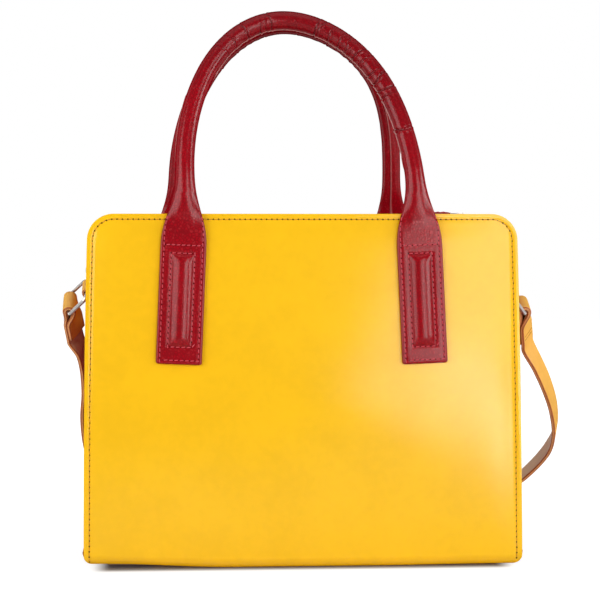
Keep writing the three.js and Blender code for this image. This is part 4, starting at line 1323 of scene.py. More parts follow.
def make_teeth(name, spots, body, node):
    """Zip teeth at spots, each given by its foot, the way across, the way along and the way up."""
    pitch = bpy.context.scene.satchel_sewing.tooth_pitch
    height = TEETH_LEVEL - TAPE_LEVEL - GAP
    shape = tooth_shape(TEETH_WIDTH / 2 + TOOTH_OVERLAP, pitch * TOOTH_SHARE, height)
    layers, columns = shape.shape[:2]
    tooth_faces = grid_faces(layers, columns, around=True)
    tooth_faces += [tuple(range(columns))[::-1], tuple(range((layers - 1) * columns, layers * columns))]
    shape = shape.reshape(-1, 3)
    points, faces = [], []
    for foot, across, along, up in spots:
        start = len(points) * len(shape)
        points.append(np.array(foot) + shape @ np.array([across, along, up]))
        faces += [tuple(start + k for k in face) for face in tooth_faces]
    piece = face_out(make_piece(name, np.concatenate(points), faces, ["nickel"]))
    smooth = [len(p.vertices) < 5 for p in piece.data.polygons]
    piece.data.polygons.foreach_set("use_smooth", smooth)
    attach(piece, body)
    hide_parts(node)


def flap_teeth(side):
    """Places of the teeth on one flap; the two flaps' teeth fall between each other."""
    pitch = bpy.context.scene.satchel_sewing.tooth_pitch
    count = int(FLAP_LENGTH / pitch)
    first = -count * pitch / 2 + (pitch / 4 if side > 0 else -pitch / 4) + pitch / 2
    level = TAPE_LEVEL + GAP
    return [((first + k * pitch, side * TEETH_WIDTH / 2, level), (0, -side, 0), (1, 0, 0), (0, 0, 1))
            for k in range(count)]


def end_teeth(side):
    """Places of the teeth, both rows, where the zip runs round a corner and down the side."""
    pitch = bpy.context.scene.satchel_sewing.tooth_pitch
    slot_foot = BODY_HEIGHT - ZIP_SIDE_DROP + END_TEETH_CLEARANCE
    line = np.array([(x, 0, z) for x, z, _ in gusset_path(side) if z >= slot_foot])
    spots, ahead = along_line(line, pitch / 2)
    made = []
    for i, (spot, along) in enumerate(zip(spots, ahead)):
        up = unit(np.cross(along, (0, 1, 0)))
        up = up if np.dot(up, (side, 0, 1)) > 0 else -up
        row = 1 if i % 2 else -1
        sunk = TAPE_LEVEL + GAP - STRIP_TOP + float(gusset_swell(spot[2]))
        foot = spot + up * sunk + np.array([0, row * TEETH_WIDTH / 2, 0])
        made.append((foot, (0, -row, 0), along, up))
    return made


def make_slider():
    """The zip's slider: a waisted plate with side lips and a lug that the pull hangs on."""
    low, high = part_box("zip_slider")
    middle = (low.x + high.x) / 2
    half = (high.x - low.x) / 2
    wide = (high.y - low.y) / 2
    plate_low = TEETH_LEVEL + GAP
    plate_high = plate_low + SLIDER_PLATE
    turn = full_turn(40)
    x = blunt(np.cos(turn), SLIDER_BLUNTNESS) * half
    y = blunt(np.sin(turn), SLIDER_BLUNTNESS) * wide * (1 - SLIDER_WAIST * (1 - (x / half) ** 2))
    shape = bmesh.new()
    extrude_outline(shape, list(zip(middle + x, y)), plate_low, plate_high)
    near, far = middle - half * LIP_LENGTH_SHARE, middle + half * LIP_LENGTH_SHARE
    for side in (-1, 1):
        inner, outer = side * (TEETH_WIDTH / 2 + GAP), side * wide * LIP_WIDTH_SHARE
        lip = [(near, inner), (far, inner), (far, outer), (near, outer)]
        extrude_outline(shape, lip, low.z, plate_low + SLIDER_SUNK)
    foot = plate_high - SLIDER_SUNK
    eye_level = plate_high + EYE_RISE
    lug = [(middle + LUG_FOOT, foot), *arc(middle, eye_level, LUG_RADIUS, 0, 180, 15),
           (middle - LUG_FOOT, foot)]
    holed_plate(shape, lug, arc(middle, eye_level, EYE_RADIUS, 0, 340, 18), -LUG_HALF, LUG_HALF)
    bmesh.ops.recalc_face_normals(shape, faces=shape.faces)
    mesh = bpy.data.meshes.new("zip_slider_metal")
    shape.to_mesh(mesh)
    shape.free()
    mesh.materials.append(finish("nickel"))
    piece = bpy.data.objects.new("zip_slider_metal", mesh)
    bpy.context.scene.collection.objects.link(piece)
    round_rims(piece, SLIDER_ROUNDING, 2, 40)
    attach(piece, "zip_slider")
    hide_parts("zip_slider")


def make_pull_link():
    """The wire link that hangs the pull on the slider's lug."""
    low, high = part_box("zip_pull_link")
    level = (low.z + high.z) / 2
    edge = PULL_WIRE + PULL_WIRE_CORNER
    half = (high.y - low.y) / 2 - edge
    near, far = high.x - edge, low.x + edge
    corners = [(near, half, 0), (far, half, 90), (far, -half, 180), (near, -half, 270)]
    line = [(x, y, level) for a, b, start in corners
            for x, y in arc(a, b, PULL_WIRE_CORNER, start, start + 90, 6)]
    link = wire_loop("zip_pull_wire", line, PULL_WIRE, "nickel", sides=10)
    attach(link, "zip_pull")
    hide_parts("zip_pull_link")


def make_pull_tab():
    """The leather pull tab: a rounded end, a plain middle and a neck inside the link."""
    low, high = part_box("zip_pull_tab")
    link_low, link_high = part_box("zip_pull_link")
    level = (link_low.z + link_high.z) / 2
    shoulder = link_low.x - GAP
    half = (high.y - low.y) / 2
    thick = (high.z - low.z) / 2
    stations = [low.x + d for d in (0, 0.0003, 0.001, 0.002, 0.0035, 0.006, 0.010)]
    stations += [shoulder + d for d in (-PULL_SHOULDER, -0.0018, -0.0004, 0.0006, 0.0012)]
    turn = full_turn(PULL_SIDES)
    rings = []
    for x in stations:
        wide = half * (0.35 + 0.65 * quarter_round((x - low.x) / PULL_END_ROUND))
        wide = wide + (PULL_NECK - wide) * float(ease(x, shoulder - PULL_SHOULDER, shoulder))
        tall = thick * quarter_round((x - low.x + 0.0004) / 0.0014)
        tall = tall * (1 - 0.45 * float(ease(x, shoulder - 0.002, shoulder + 0.001)))
        y = blunt(np.cos(turn), 0.35) * wide
        z = blunt(np.sin(turn), 0.5) * tall
        rings.append(np.stack([np.full(PULL_SIDES, x), y, level + z], axis=1))
    pull = skin_rings("zip_pull_leather", np.array(rings), ["burgundy_hide"])
    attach(pull, "zip_pull")
    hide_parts("zip_pull_tab")
    inset = half - PULL_SEAM_INSET
    tip, corner, start = PULL_SEAM_ENDS
    outline = [(shoulder - start, inset), (low.x + corner, inset), (low.x + tip, 0),
               (low.x + corner, -inset), (shoulder - start, -inset)]
    guide = [(x, y, high.z + PULL_GUIDE_RISE) for x, y in outline]
    sew("zip_pull_stitches", "pull", [(guide, (0, 0, -1))], pull, "zip_pull")


def extrude_outline(shape, outline, low, high):
    """Adds an upright prism over an outline in X and Y."""
    below = [shape.verts.new((x, y, low)) for x, y in outline]
    above = [shape.verts.new((x, y, high)) for x, y in outline]
    shape.faces.new(below)
    shape.faces.new(above)
    for i in range(len(outline)):
        j = (i + 1) % len(outline)
        shape.faces.new((below[i], below[j], above[j], above[i]))


def holed_plate(shape, outline, eye, near, far):
    """Adds a plate with one hole, drawn in X and Z between two values of Y."""
    count = len(eye)
    centre_x = sum(x for x, _ in eye) / count
    centre_z = sum(z for _, z in eye) / count
    rim = []
    for x, z in eye:
        way = Vector((x - centre_x, z - centre_z)).normalized()
        rim.append(far_edge(outline, (centre_x, centre_z), way))
    rings = []
    for y in (near, far):
        rings.append(([shape.verts.new((x, y, z)) for x, z in rim],
                      [shape.verts.new((x, y, z)) for x, z in eye]))
    for i in range(count):
        j = (i + 1) % count
        for outer, inner in rings:
            shape.faces.new((outer[i], outer[j], inner[j], inner[i]))
        for k in (0, 1):
            shape.faces.new((rings[0][k][i], rings[0][k][j], rings[1][k][j], rings[1][k][i]))


def far_edge(outline, centre, way):
    """Where a ray from the centre leaves an outline."""
    best = None
    count = len(outline)
    for i in range(count):
        ax, az = outline[i]
        bx, bz = outline[(i + 1) % count]
        dx, dz = bx - ax, bz - az
        cross = way[0] * dz - way[1] * dx
        if abs(cross) < 1e-12:
            continue
        t = ((ax - centre[0]) * dz - (az - centre[1]) * dx) / cross
        s = ((ax - centre[0]) * way[1] - (az - centre[1]) * way[0]) / cross
        if t > 0 and -1e-9 <= s <= 1 + 1e-9 and (best is None or t > best):
            best = t
    return centre[0] + way[0] * best, centre[1] + way[1] * best


def make_stop(name, side):
    """The clamped metal end of the zip on the side of the bag."""
    low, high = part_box(f"{name}_zip_stop")
    middle = (low + high) / 2
    size = (high - low) / 2
    turn = full_turn(STOP_SIDES)
    y = blunt(np.cos(turn), 0.5) * size.y
    z = blunt(np.sin(turn), 0.5) * size.z
    rings = []
    for share, width in STOP_STATIONS:
        x = np.full(STOP_SIDES, middle.x + side * share * size.x)
        rings.append(np.stack([x, middle.y + y * width, middle.z + z * width], axis=1))
    piece = skin_rings(f"{name}_zip_stop_metal", np.array(rings), ["dark_nickel"])
    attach(piece, "bag")
    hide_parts(f"{name}_zip_stop")


class SATCHEL_OT_zip(Operator):
    """Make the zip: its leather strips, tapes, teeth, slider, pull and end stops"""

    bl_idname = "satchel.zip"
    bl_label = "Zip"

    def execute(self, context):
        for name, side in PANELS:
            make_flap(name, side)
            level = TAPE_LEVEL - ZIP_TAPE_THICKNESS / 2
            rows = [((x, side * GAP / 2, level), (x, side * ZIP_TAPE / 2, level))
                    for x in np.linspace(-FLAP_LENGTH / 2, FLAP_LENGTH / 2, 60)]
            make_tape(f"{name}_zip_cloth", rows, f"{name}_flap", f"{name}_zip_tape")
            make_teeth(f"{name}_zip_metal", flap_teeth(side), f"{name}_flap", f"{name}_zip_teeth")
        for name, side in ENDS:
            foot = BODY_HEIGHT - ZIP_SIDE_DROP - ZIP_TAPE_TAIL
            sunk = -GUSSET_LEATHER - GAP - ZIP_TAPE_THICKNESS / 2
            path = [row for row in gusset_path(side) if row[1] > foot]
            rows = [[on_gusset(side, row, y, sunk) for y in (-ZIP_TAPE / 2, ZIP_TAPE / 2)] for row in path]
            make_tape(f"{name}_zip_end_cloth", rows, "bag", f"{name}_zip_end_tape")
            make_teeth(f"{name}_zip_end_metal", end_teeth(side), "bag", f"{name}_zip_end_teeth")
            make_stop(name, side)
        make_slider()
        make_pull_link()
        make_pull_tab()
        return {"FINISHED"}


# The handles

def panel_frame(side):
    """Origin, way along, way out and way up of a panel, from the middle of its top edge."""
    origin = np.array([0, side * float(half_depth(BODY_HEIGHT)), BODY_HEIGHT])
    out = np.array([0, side * math.cos(PANEL_SLOPE), math.sin(PANEL_SLOPE)])
    up = np.array([0, -side * math.sin(PANEL_SLOPE), math.cos(PANEL_SLOPE)])
    return origin, np.array([1.0, 0, 0]), out, up


def tab_point(side, x, hand, across, out, height):
    """A point of a tab: across it, out of its back face, and up from the panel's top edge."""
    origin, along, away, up = panel_frame(side)
    below = height - NECK_RISE
    lean = -hand * TAB_SPLAY
    u = across * math.cos(lean) + below * math.sin(lean)
    w = below * math.cos(lean) - across * math.sin(lean) + NECK_RISE
    flat = origin + (x + u) * along + w * up
    rise = float(panel_swell(np.array(flat[0]), np.array(min(flat[2], BODY_HEIGHT))))
    return flat + away * (GAP + out + rise * float(ease(height, *TAB_SETTLE_SPAN)))


def arch_line(side, shift, sway, fullness):
    """Points of a grip's middle line from its left neck to its right one, close together."""
    origin, along, out, up = panel_frame(side)
    neck = origin + out * (GAP + TAB_LEATHER / 2) + up * NECK_RISE
    rise = np.array([0, -side * math.sin(GRIP_TILT), math.cos(GRIP_TILT)])
    angle = np.linspace(math.pi, 0, 3000)
    shoulder = fullness * np.sin(2 * angle) ** 2 * (angle < math.pi / 2)
    x = shift + HANDLE_SPAN / 2 * np.cos(angle) + sway * np.sin(angle) + shoulder
    return neck + x[:, None] * along + (GRIP_RISE * np.sin(angle))[:, None] * rise


def section_turns():
    """Directions round a handle's section in degrees: over the front, an edge, the back, an edge."""
    front = np.linspace(180 - EDGE_TURN, EDGE_TURN, FRONT_POINTS)
    edge = np.linspace(EDGE_TURN, -EDGE_TURN, EDGE_POINTS + 2)[1:-1]
    back = np.concatenate([
        np.linspace(-EDGE_TURN, SEAM_TURN + SEAM_TURN_REACH + 2, 8),
        np.linspace(SEAM_TURN + SEAM_TURN_REACH, SEAM_TURN - SEAM_TURN_REACH, 19),
        np.linspace(SEAM_TURN - SEAM_TURN_REACH - 2, EDGE_TURN - 180, 8),
    ])
    return front, edge, back, edge - 180


def ridge_rise(across, height):
    """Height of the padded ridge over a tab's face."""
    top = bpy.context.scene.satchel_handles.ridge_height
    side = np.clip(np.abs(across) / (RIDGE_WIDTH / 2), 0, 1)
    end = np.clip((np.abs(height - RIDGE_MIDDLE) - (RIDGE_LENGTH / 2 - RIDGE_END)) / RIDGE_END, 0, 1)
    return top * (1 - side ** 2.1) ** 0.8 * (1 - end ** 2.2) ** 0.6


def dent(depth_and_width, distance):
    """How deep a stitch line pulls the leather in, that far from the line."""
    depth, width = depth_and_width
    return depth * bell(distance, width)


def tab_face(across, height):
    """Rise of a tab's face: its padded ridge, and the dents along its stitch lines."""
    inset = bpy.context.scene.satchel_handles.tab_seam_inset
    reach = np.abs(across)
    beside = np.maximum(reach - RIDGE_WIDTH / 2, np.abs(height - RIDGE_MIDDLE) - RIDGE_LENGTH / 2)
    ridge = dent(RIDGE_DENT, beside - RIDGE_SEAM)
    head = dent(HEAD_DENT, height + HEAD_SEAM_DROP) * (reach < HEAD_SEAM_HALF)
    edge = dent(EDGE_DENT, TAB_WIDTH / 2 - inset - reach) * (height < EDGE_DENT_TOP)
    return ridge_rise(across, height) - ridge - head - edge


def tab_heights():
    """Heights of the sections of a tab and its neck, closer at the tab's end and its ridge's ends."""
    low = [-TAB_LENGTH + d for d in (0, 0.0002, 0.0006, 0.0011, 0.0016, 0.0022, 0.003)]
    low += [*np.arange(-TAB_LENGTH + 0.005, -0.105, 0.0015)]
    inwards = np.arange(-0.003, 0.0075, 0.0007)
    fine = [*(-RIDGE_DROP - RIDGE_LENGTH + inwards), *(-RIDGE_DROP - inwards)]
    plain = [*np.arange(-0.104, 0.0125, 0.0022)]
    heights = np.unique(np.round(low + fine + plain, 5))
    return heights[heights < TAB_TOP]


def tab_sections(side, x, hand, heights):
    """Middle points of a tab's sections, and the ways across it."""
    def at(across, height):
        return tab_point(side, x, hand, across, TAB_LEATHER / 2, height)

    wides = [unit(at(0.001, height) - at(-0.001, height)) * hand for height in heights]
    return [at(0.0, height) for height in heights], wides


def grip_places(name, length):
    """Places of a grip's sections along its arch, closer together along the creases."""
    creased = [share for share, _ in CREASES[name]]
    low, high = min(creased) - CREASE_MARGIN, max(creased) + CREASE_MARGIN
    gentle = np.linspace(0.0, 1.0, int(length / GRIP_STEP))
    close = np.linspace(low, high, int(length * (high - low) / CREASE_STEP))
    return np.concatenate([gentle[gentle < low], close, gentle[gentle > high]]) * length


def front_places(reach):
    """Places across a tab's face, closer at the sides of its ridge."""
    half = np.array([0, 0.09, 0.18, 0.26, 0.32, 0.37, 0.405, 0.43, 0.45, 0.47, 0.49, 0.515, 0.545, 0.59,
                     0.65, 0.72, 0.79, 0.84, 0.89, 0.945, 1.0])
    return np.concatenate([-half[:0:-1], half]) * reach


def make_handle(name):
    """A handle's leather, grip and both tabs in one, and where its two tabs stand."""
    side, shift, sway, fullness = HANDLES[name]
    line = arch_line(side, shift, sway, fullness)
    run = run_along(line)
    length = run[-1]
    places = grip_places(name, length)
    centres = points_at(places, run, line)
    ahead = unit(np.gradient(centres, axis=0))
    grip_out = np.array([0, side * math.cos(GRIP_TILT), math.sin(GRIP_TILT)])
    grip_wide = unit(np.cross(np.broadcast_to(grip_out, ahead.shape), ahead)) * -side
    keep = (places > NECK_SKIP) & (places < length - NECK_SKIP)
    places = places[keep]

    heights = tab_heights()
    feet = (shift - HANDLE_SPAN / 2, shift + HANDLE_SPAN / 2)
    left, left_wide = tab_sections(side, feet[0], -1, heights)
    right, right_wide = tab_sections(side, feet[1], 1, heights[::-1])
    tab_out = np.tile(panel_frame(side)[2], (len(heights), 1))
    off_grip = np.full(len(heights), -1.0)
    points = np.concatenate([left, centres[keep], right])
    wides = np.concatenate([left_wide, grip_wide[keep], right_wide])
    outs = np.concatenate([tab_out, np.tile(grip_out, (len(places), 1)), tab_out])
    arch_place = np.concatenate([off_grip, places, off_grip])
    level = np.concatenate([heights, NECK_RISE + np.minimum(places, length - places), heights[::-1]])
    points, wides, outs = smooth_necks(points, wides, outs, level)
    rings, crease, lip = handle_rings(name, points, wides, outs, level, arch_place, length)

    front, edge, back, _ = section_turns()
    painted = [0] * len(front) + [1] * len(edge) + [0] * len(back) + [1] * len(edge)
    slots = []
    for height in level[:-1]:
        slots += painted if height < EDGE_PAINT_TOP else [0] * len(painted)
    # The crease mark carries the painted shade that the material mixes into the colour
    piece = skin_rings(f"{name}_handle_leather", rings, ["burgundy_hide", "edge_burgundy"],
                       slots + [1, 1], {"crease": crease, "lip": lip})
    return piece, feet


def smooth_necks(points, wides, outs, level):
    """Rounds the bend where each tab turns into the grip."""
    near = (bell(level - NECK_RISE, NECK_WIDTH) * (level > NECK_FOOT))[:, None]
    for _ in range(NECK_ROUNDS):
        for rows in (points, wides, outs):
            rows += (averaged(rows) - rows) * near
    return points, unit(wides), unit(outs)


def handle_rings(name, points, wides, outs, level, arch_place, length):
    """Rings of a handle's surface, with how much painted shade each point takes in the creases and over the
    grip's creased middle, and how pale each point is.
    """
    sizes = bpy.context.scene.satchel_handles
    turns = np.radians(np.concatenate(section_turns()))
    halves = flare_sizes(level, FLARE_HEIGHTS, FLARE_HALVES)
    fronts = flare_sizes(level, FRONT_HEIGHTS, FRONT_DEPTHS)
    backs = flare_sizes(level, BACK_HEIGHTS, BACK_DEPTHS)
    rolled = ease(level, *ROLLED_SPAN)
    rings = np.zeros((len(level), len(turns), 3))
    crease = np.zeros(rings.shape[:2])
    lip = np.zeros(rings.shape[:2])
    seam = (np.degrees(turns) - SEAM_TURN + 180) % 360 - 180
    for r, (height, half, deep, rear, round_share) in enumerate(zip(level, halves, fronts, backs, rolled)):
        from_end = height + TAB_LENGTH
        thin = max(quarter_round(from_end / (TAB_LEATHER / 2)), THINNEST)
        half = half - TAB_CORNER * (1 - quarter_round(from_end / TAB_CORNER))
        flat = flat_section(half, deep * thin, rear * thin, height, thin)
        share = arch_place[r] / length
        on_grip = share >= 0
        twist = float(np.interp(share, *zip(*SEAM_TURNS[name]))) - SEAM_TURN if on_grip else 0.0
        rolled_turns = turns + math.radians(twist)
        cos, sin = np.cos(rolled_turns), np.sin(rolled_turns)
        push = np.zeros(len(turns))
        if round_share > 0.3:
            push, lips = grip_seam(seam, sizes, round_share)
            lip[r] = lips * LIP_SHARES[name]
        if on_grip:
            dip, puff = grip_creases(name, arch_place[r], rolled_turns, length, sizes)
            push = push + puff - dip
            # Painted shade: worn darkens the creased middle of the grip, and each crease darkens more by its
            # depth
            worn = GRIP_PAINTED_SHADE * float(ease(share, 0.18, 0.36) * (1 - ease(share, 0.8, 0.95)))
            crease[r] = np.clip(dip / CREASE_FULL_SHADE + worn, 0, CREASE_DEEPEST_SHADE)
        x = flat[:, 0] * (1 - round_share) + half * cos * round_share + cos * push
        y = flat[:, 1] * (1 - round_share) + np.where(sin > 0, deep, rear) * sin * round_share + sin * push
        rings[r] = points[r] + x[:, None] * wides[r] + y[:, None] * outs[r]
    return rings, crease, lip


def flare_sizes(level, heights, sizes):
    """Sizes of a handle's sections at their levels, with the corners along the flares rounded."""
    values = np.interp(level, heights, sizes)
    near = (level > FLARE_SPAN[0]) & (level < FLARE_SPAN[1])
    for _ in range(FLARE_ROUNDS):
        values[near] = averaged(values)[near]
    return values


def flat_section(half, deep, rear, height, thin):
    """A tab's section: a flat face with its ridge, a flat back and half-round edges."""
    rim = min(deep, rear)
    reach = max(half - rim, 0.0005)
    face_x = front_places(reach)
    face_y = deep + tab_face(face_x, height) * thin
    edge_angle = np.radians(np.linspace(90, -90, EDGE_POINTS + 2)[1:-1])
    middle_y = (deep - rear) / 2
    tall = (deep + rear) / 2
    right = np.stack([reach + rim * np.cos(edge_angle), middle_y + tall * np.sin(edge_angle)], axis=1)
    count = len(section_turns()[2])
    back = np.stack([np.linspace(reach, -reach, count), np.full(count, -rear)], axis=1)
    left = np.stack([-reach - rim * np.cos(edge_angle), middle_y - tall * np.sin(edge_angle)], axis=1)
    return np.concatenate([np.stack([face_x, face_y], axis=1), right, back, left])


def grip_seam(seam, sizes, share):
    """The grip's sewn seam: the upper layer's raw edge stands up beside a fine cut."""
    notch = sizes.seam_lip * bell(seam - 2.0, 3.2) - sizes.seam_cut * bell(seam + 5.0, 2.6)
    return notch * share, bell(seam - 1.5, 3.4)


def grip_creases(name, place, turns, length, sizes):
    """How far creases pull a grip's surface in at one place, and how far it puckers out.

    Each crease has its own spread round the grip, the side it faces, and its own lean and hook.
    """
    dip = np.zeros(len(turns))
    puff = np.zeros(len(turns))
    width = sizes.crease_width
    for k, (share, depth) in enumerate(CREASES[name]):
        spread = 0.75 + 0.35 * math.sin(k * 2.3)
        away = turns - math.radians(150 - 35 * math.sin(k * 1.7))
        lean = 0.0024 * math.sin(k * 3.1)
        hook = 0.0014 * math.sin(k * 1.3 + 0.6)
        past = place - share * length - lean * np.sin(away) - hook * np.cos(2 * away)
        reach = depth * 0.001 * np.exp(spread * (np.cos(away) - 1) * 1.3)
        dip += reach * bell(past, width)
        puff += 0.55 * reach * bell(past - 2.1 * width, 1.5 * width)
    share = place / length
    inner = np.exp(1.6 * (np.cos(turns - math.radians(185)) - 1))
    strength = float(ease(share, 0.24, 0.4) * (1 - ease(share, 0.8, 0.92)))
    wave = math.sin(place * 610 + 2.6 * math.sin(place * 130)) * (0.5 + 0.5 * math.sin(place * 61))
    return dip, puff + sizes.buckle_height * inner * strength * wave


def tab_seams(side, x, hand):
    """Stitch lines of one tab: round its edge, across its head and round its ridge."""
    inset = bpy.context.scene.satchel_handles.tab_seam_inset
    half = TAB_WIDTH / 2 - inset
    low = TAB_SEAM_FOOT - TAB_LENGTH
    right = [*TAB_SEAM_FLARE, (half, TAB_SEAM_TOP), (half, low)]
    around = [(-u, h) for u, h in right] + right[::-1]
    head_half = half - HEAD_SEAM_INSET
    head = [(-head_half, -HEAD_SEAM_DROP), (head_half, -HEAD_SEAM_DROP)]
    ridge_half = RIDGE_WIDTH / 2 + RIDGE_SEAM
    top = RIDGE_SEAM - RIDGE_DROP
    bottom = -RIDGE_DROP - RIDGE_LENGTH - RIDGE_SEAM
    box = [(-ridge_half, top), (-ridge_half, bottom), (ridge_half, bottom), (ridge_half, top),
           (-ridge_half, top)]
    away = panel_frame(side)[2]
    return [([tab_point(side, x, hand, u, TAB_SEAM_CLEARANCE, h) for u, h in outline], -away)
            for outline in (around, head, box)]


class SATCHEL_OT_handles(Operator):
    """Make both rolled handles with their tabs, and sew the tabs"""

    bl_idname = "satchel.handles"
    bl_label = "Handles"

    def execute(self, context):
        for name, (side, *_) in HANDLES.items():
            handle, feet = make_handle(name)
            seams = tab_seams(side, feet[0], -1) + tab_seams(side, feet[1], 1)
            sew(f"{name}_tab_stitches", "tab", seams, handle, "bag")
            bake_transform(handle)
            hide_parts(f"{name}_handle_cover", f"{name}_handle_core", f"{name}_left_tab",
                        f"{name}_left_tab_filler", f"{name}_right_tab", f"{name}_right_tab_filler")
        return {"FINISHED"}


# Rings, chapes and the strap

def gusset_face(z):
    """Outer face of a gusset's middle at height z."""
    return float(gusset_edge(z) + gusset_swell(z))


def chape_near(tilt):
    """Height of a chape's lower corner beside the ring's inner bar."""
    return RING_HEIGHT - CHAPE_WIDTH / 2 * math.sin(tilt)


def ring_frame(name):
    """Place, way out, way along and way up of a ring's inner bar."""
    side, tilt = CARRIERS[name][:2]
    reach = gusset_face(chape_near(tilt)) + GAP + LOOP_BORE + CHAPE_LEATHER
    out = np.array([side, 0.0, 0.0])
    along = np.array([0, math.cos(tilt), math.sin(tilt)])
    up = np.array([0, -math.sin(tilt), math.cos(tilt)])
    return np.array([side * reach, 0, RING_HEIGHT]), out, along, up


def strap_frame(name):
    """Place, way out, way across and way up of the strap's sewn end, from the ring's outer bar."""
    ring_swing, strap_swing = CARRIERS[name][2:4]
    place, out, along, up = ring_frame(name)
    bar = place + RING_REACH * (math.sin(ring_swing) * out - math.cos(ring_swing) * up)
    turn = -strap_swing
    away = math.cos(turn) * out - math.sin(turn) * up
    back_up = math.sin(turn) * out + math.cos(turn) * up
    return bar, away, along, back_up


def twisted(name, out, across, drop):
    """The ways out and across of the strap's end, that far below the ring's bar."""
    side, twist = CARRIERS[name][0], CARRIERS[name][4]
    turn = side * twist * float(ease(drop, *STRAP_TWIST_SPAN))
    return (math.cos(turn) * out - math.sin(turn) * across,
            math.cos(turn) * across + math.sin(turn) * out)


def between(u, start, end, first, last):
    """The point at u on a stretch from first, at start, to last, at end."""
    share = (u - start) / (end - start)
    return (1 - share) * first + share * last


def spline(points, samples):
    """A smooth curve through points, that many samples to each stretch."""
    points = np.asarray(points, float)
    before = 2 * points[0] - points[1]
    after = 2 * points[-1] - points[-2]
    row = np.concatenate([[before], points, [after]])
    made = []
    for i in range(1, len(row) - 2):
        a, b, c, d = row[i - 1:i + 3]
        steps = np.linalg.norm([b - a, c - b, d - c], axis=1)
        t = np.cumsum([0, *np.maximum(steps, 1e-9) ** 0.5])
        for u in np.linspace(t[1], t[2], samples, endpoint=False):
            ab = between(u, t[0], t[1], a, b)
            bc = between(u, t[1], t[2], b, c)
            cd = between(u, t[2], t[3], c, d)
            first = between(u, t[0], t[2], ab, bc)
            last = between(u, t[1], t[3], bc, cd)
            made.append(between(u, t[1], t[2], first, last))
    made.append(points[-1])
    return np.array(made)


def folded_end(doubled, taper, half_gap, loop):
    """A strip's fold round a bar, in its own plane: up the inner layer, round, and down the outer one."""
    rise = [(half_gap, z) for z in np.linspace(-doubled, -taper, 8)]
    spread = [(half_gap + (loop - half_gap) * float(ease(z, -taper, 0)), z)
              for z in np.linspace(-taper, 0, 9)[1:-1]]
    leg = rise + spread
    return [(-x, z) for x, z in leg] + [*arc(0, 0, loop, 180, 0, 17)] + leg[::-1]


def strip_section(width, thickness, crown):
    """Section of a strip: its outer face, a painted edge with a fine groove, its back, an edge."""
    half, thick = width / 2, thickness / 2
    rim = thick * 0.55
    face = [(x, thick + crown * (1 - (x / half) ** 2)) for x in np.linspace(-half + rim, half - rim, 9)]
    upper = [(half - rim * 0.3, thick * 0.82), (half, thick * 0.42), (half - STRIP_GROOVE_RIM, thick * 0.16)]
    edge = upper + [(half - STRIP_GROOVE, 0)] + [(x, -y) for x, y in reversed(upper)]
    back = [(x, -thick) for x in np.linspace(half - rim, -half + rim, 9)]
    other = [(-x, -y) for x, y in edge]
    slots = [0] * 8 + STRIP_RIM_SLOTS + [2] * 8 + STRIP_RIM_SLOTS
    return np.array(face + edge + back + other), slots


def lay_strip(name, line, across, out_at_start, width, thickness, crown=0.0):
    """A strip of leather along a line; across gives its width's direction at each point."""
    line = np.asarray(line)
    ahead = unit(np.gradient(line, axis=0))
    across = np.asarray(across, float)
    across = unit(across - (across * ahead).sum(axis=1)[:, None] * ahead)
    normal = np.cross(ahead, across)
    if np.dot(normal[0], out_at_start) < 0:
        normal = -normal
    section, slots = strip_section(width, thickness, crown)
    rings = (line[:, None, :] + section[None, :, 0, None] * across[:, None, :]
             + section[None, :, 1, None] * normal[:, None, :])
    return skin_rings(name, rings, STRIP_FINISHES, slots * (len(line) - 1) + slots[:1] * 2)


def make_strap(name):
    """Half of the shoulder strap: its fold round the ring, and its route behind the bag."""
    bar, out, across, up = strap_frame(name)
    half_gap = STRAP_THICKNESS / 2
    fold = folded_end(STRAP_DOUBLED, STRAP_TAPER, half_gap, LOOP_BORE + half_gap)
    fold_ways = [twisted(name, out, across, -z) for _, z in fold]
    head = np.array([bar + x * way[0] + z * up for (x, z), way in zip(fold, fold_ways)])
    end_out, end_across = fold_ways[-1]
    lead = bar + half_gap * end_out - (STRAP_DOUBLED + GAP + STRAP_LEAD) * up
    route = STRAP_ROUTES[name]
    controls = [head[-1], lead, *(np.array(point) for point, _ in route)]
    ways = np.array([end_across, end_across, *(way for _, way in route)])
    run = spline(controls, STRAP_SAMPLES)
    index = np.linspace(0, len(controls) - 1, len(run))
    run_across = points_at(index, range(len(ways)), ways)
    line = np.concatenate([head[:-1], run])
    wide = np.concatenate([[way[1] for way in fold_ways[:-1]], run_across])
    piece = lay_strip(f"{name}_strap_leather", line, wide, -out, STRAP_WIDTH, STRAP_THICKNESS, STRAP_CROWN)
    seams = []
    for drop in STRAP_SEAM_DROPS:
        start = bar + (half_gap + STRAP_SEAM_CLEARANCE) * end_out - drop * up
        guide = [start + reach * end_across for reach in (-STRAP_SEAM_HALF, STRAP_SEAM_HALF)]
        seams.append((guide, -end_out))
    stitches = sew(f"{name}_strap_stitches", "strap", seams, piece, f"{name}_ring")
    tuple(bar - STRAP_BEND_DROP * up)
    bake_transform(piece)
    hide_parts(f"{name}_strap_end", f"{name}_strap_run")


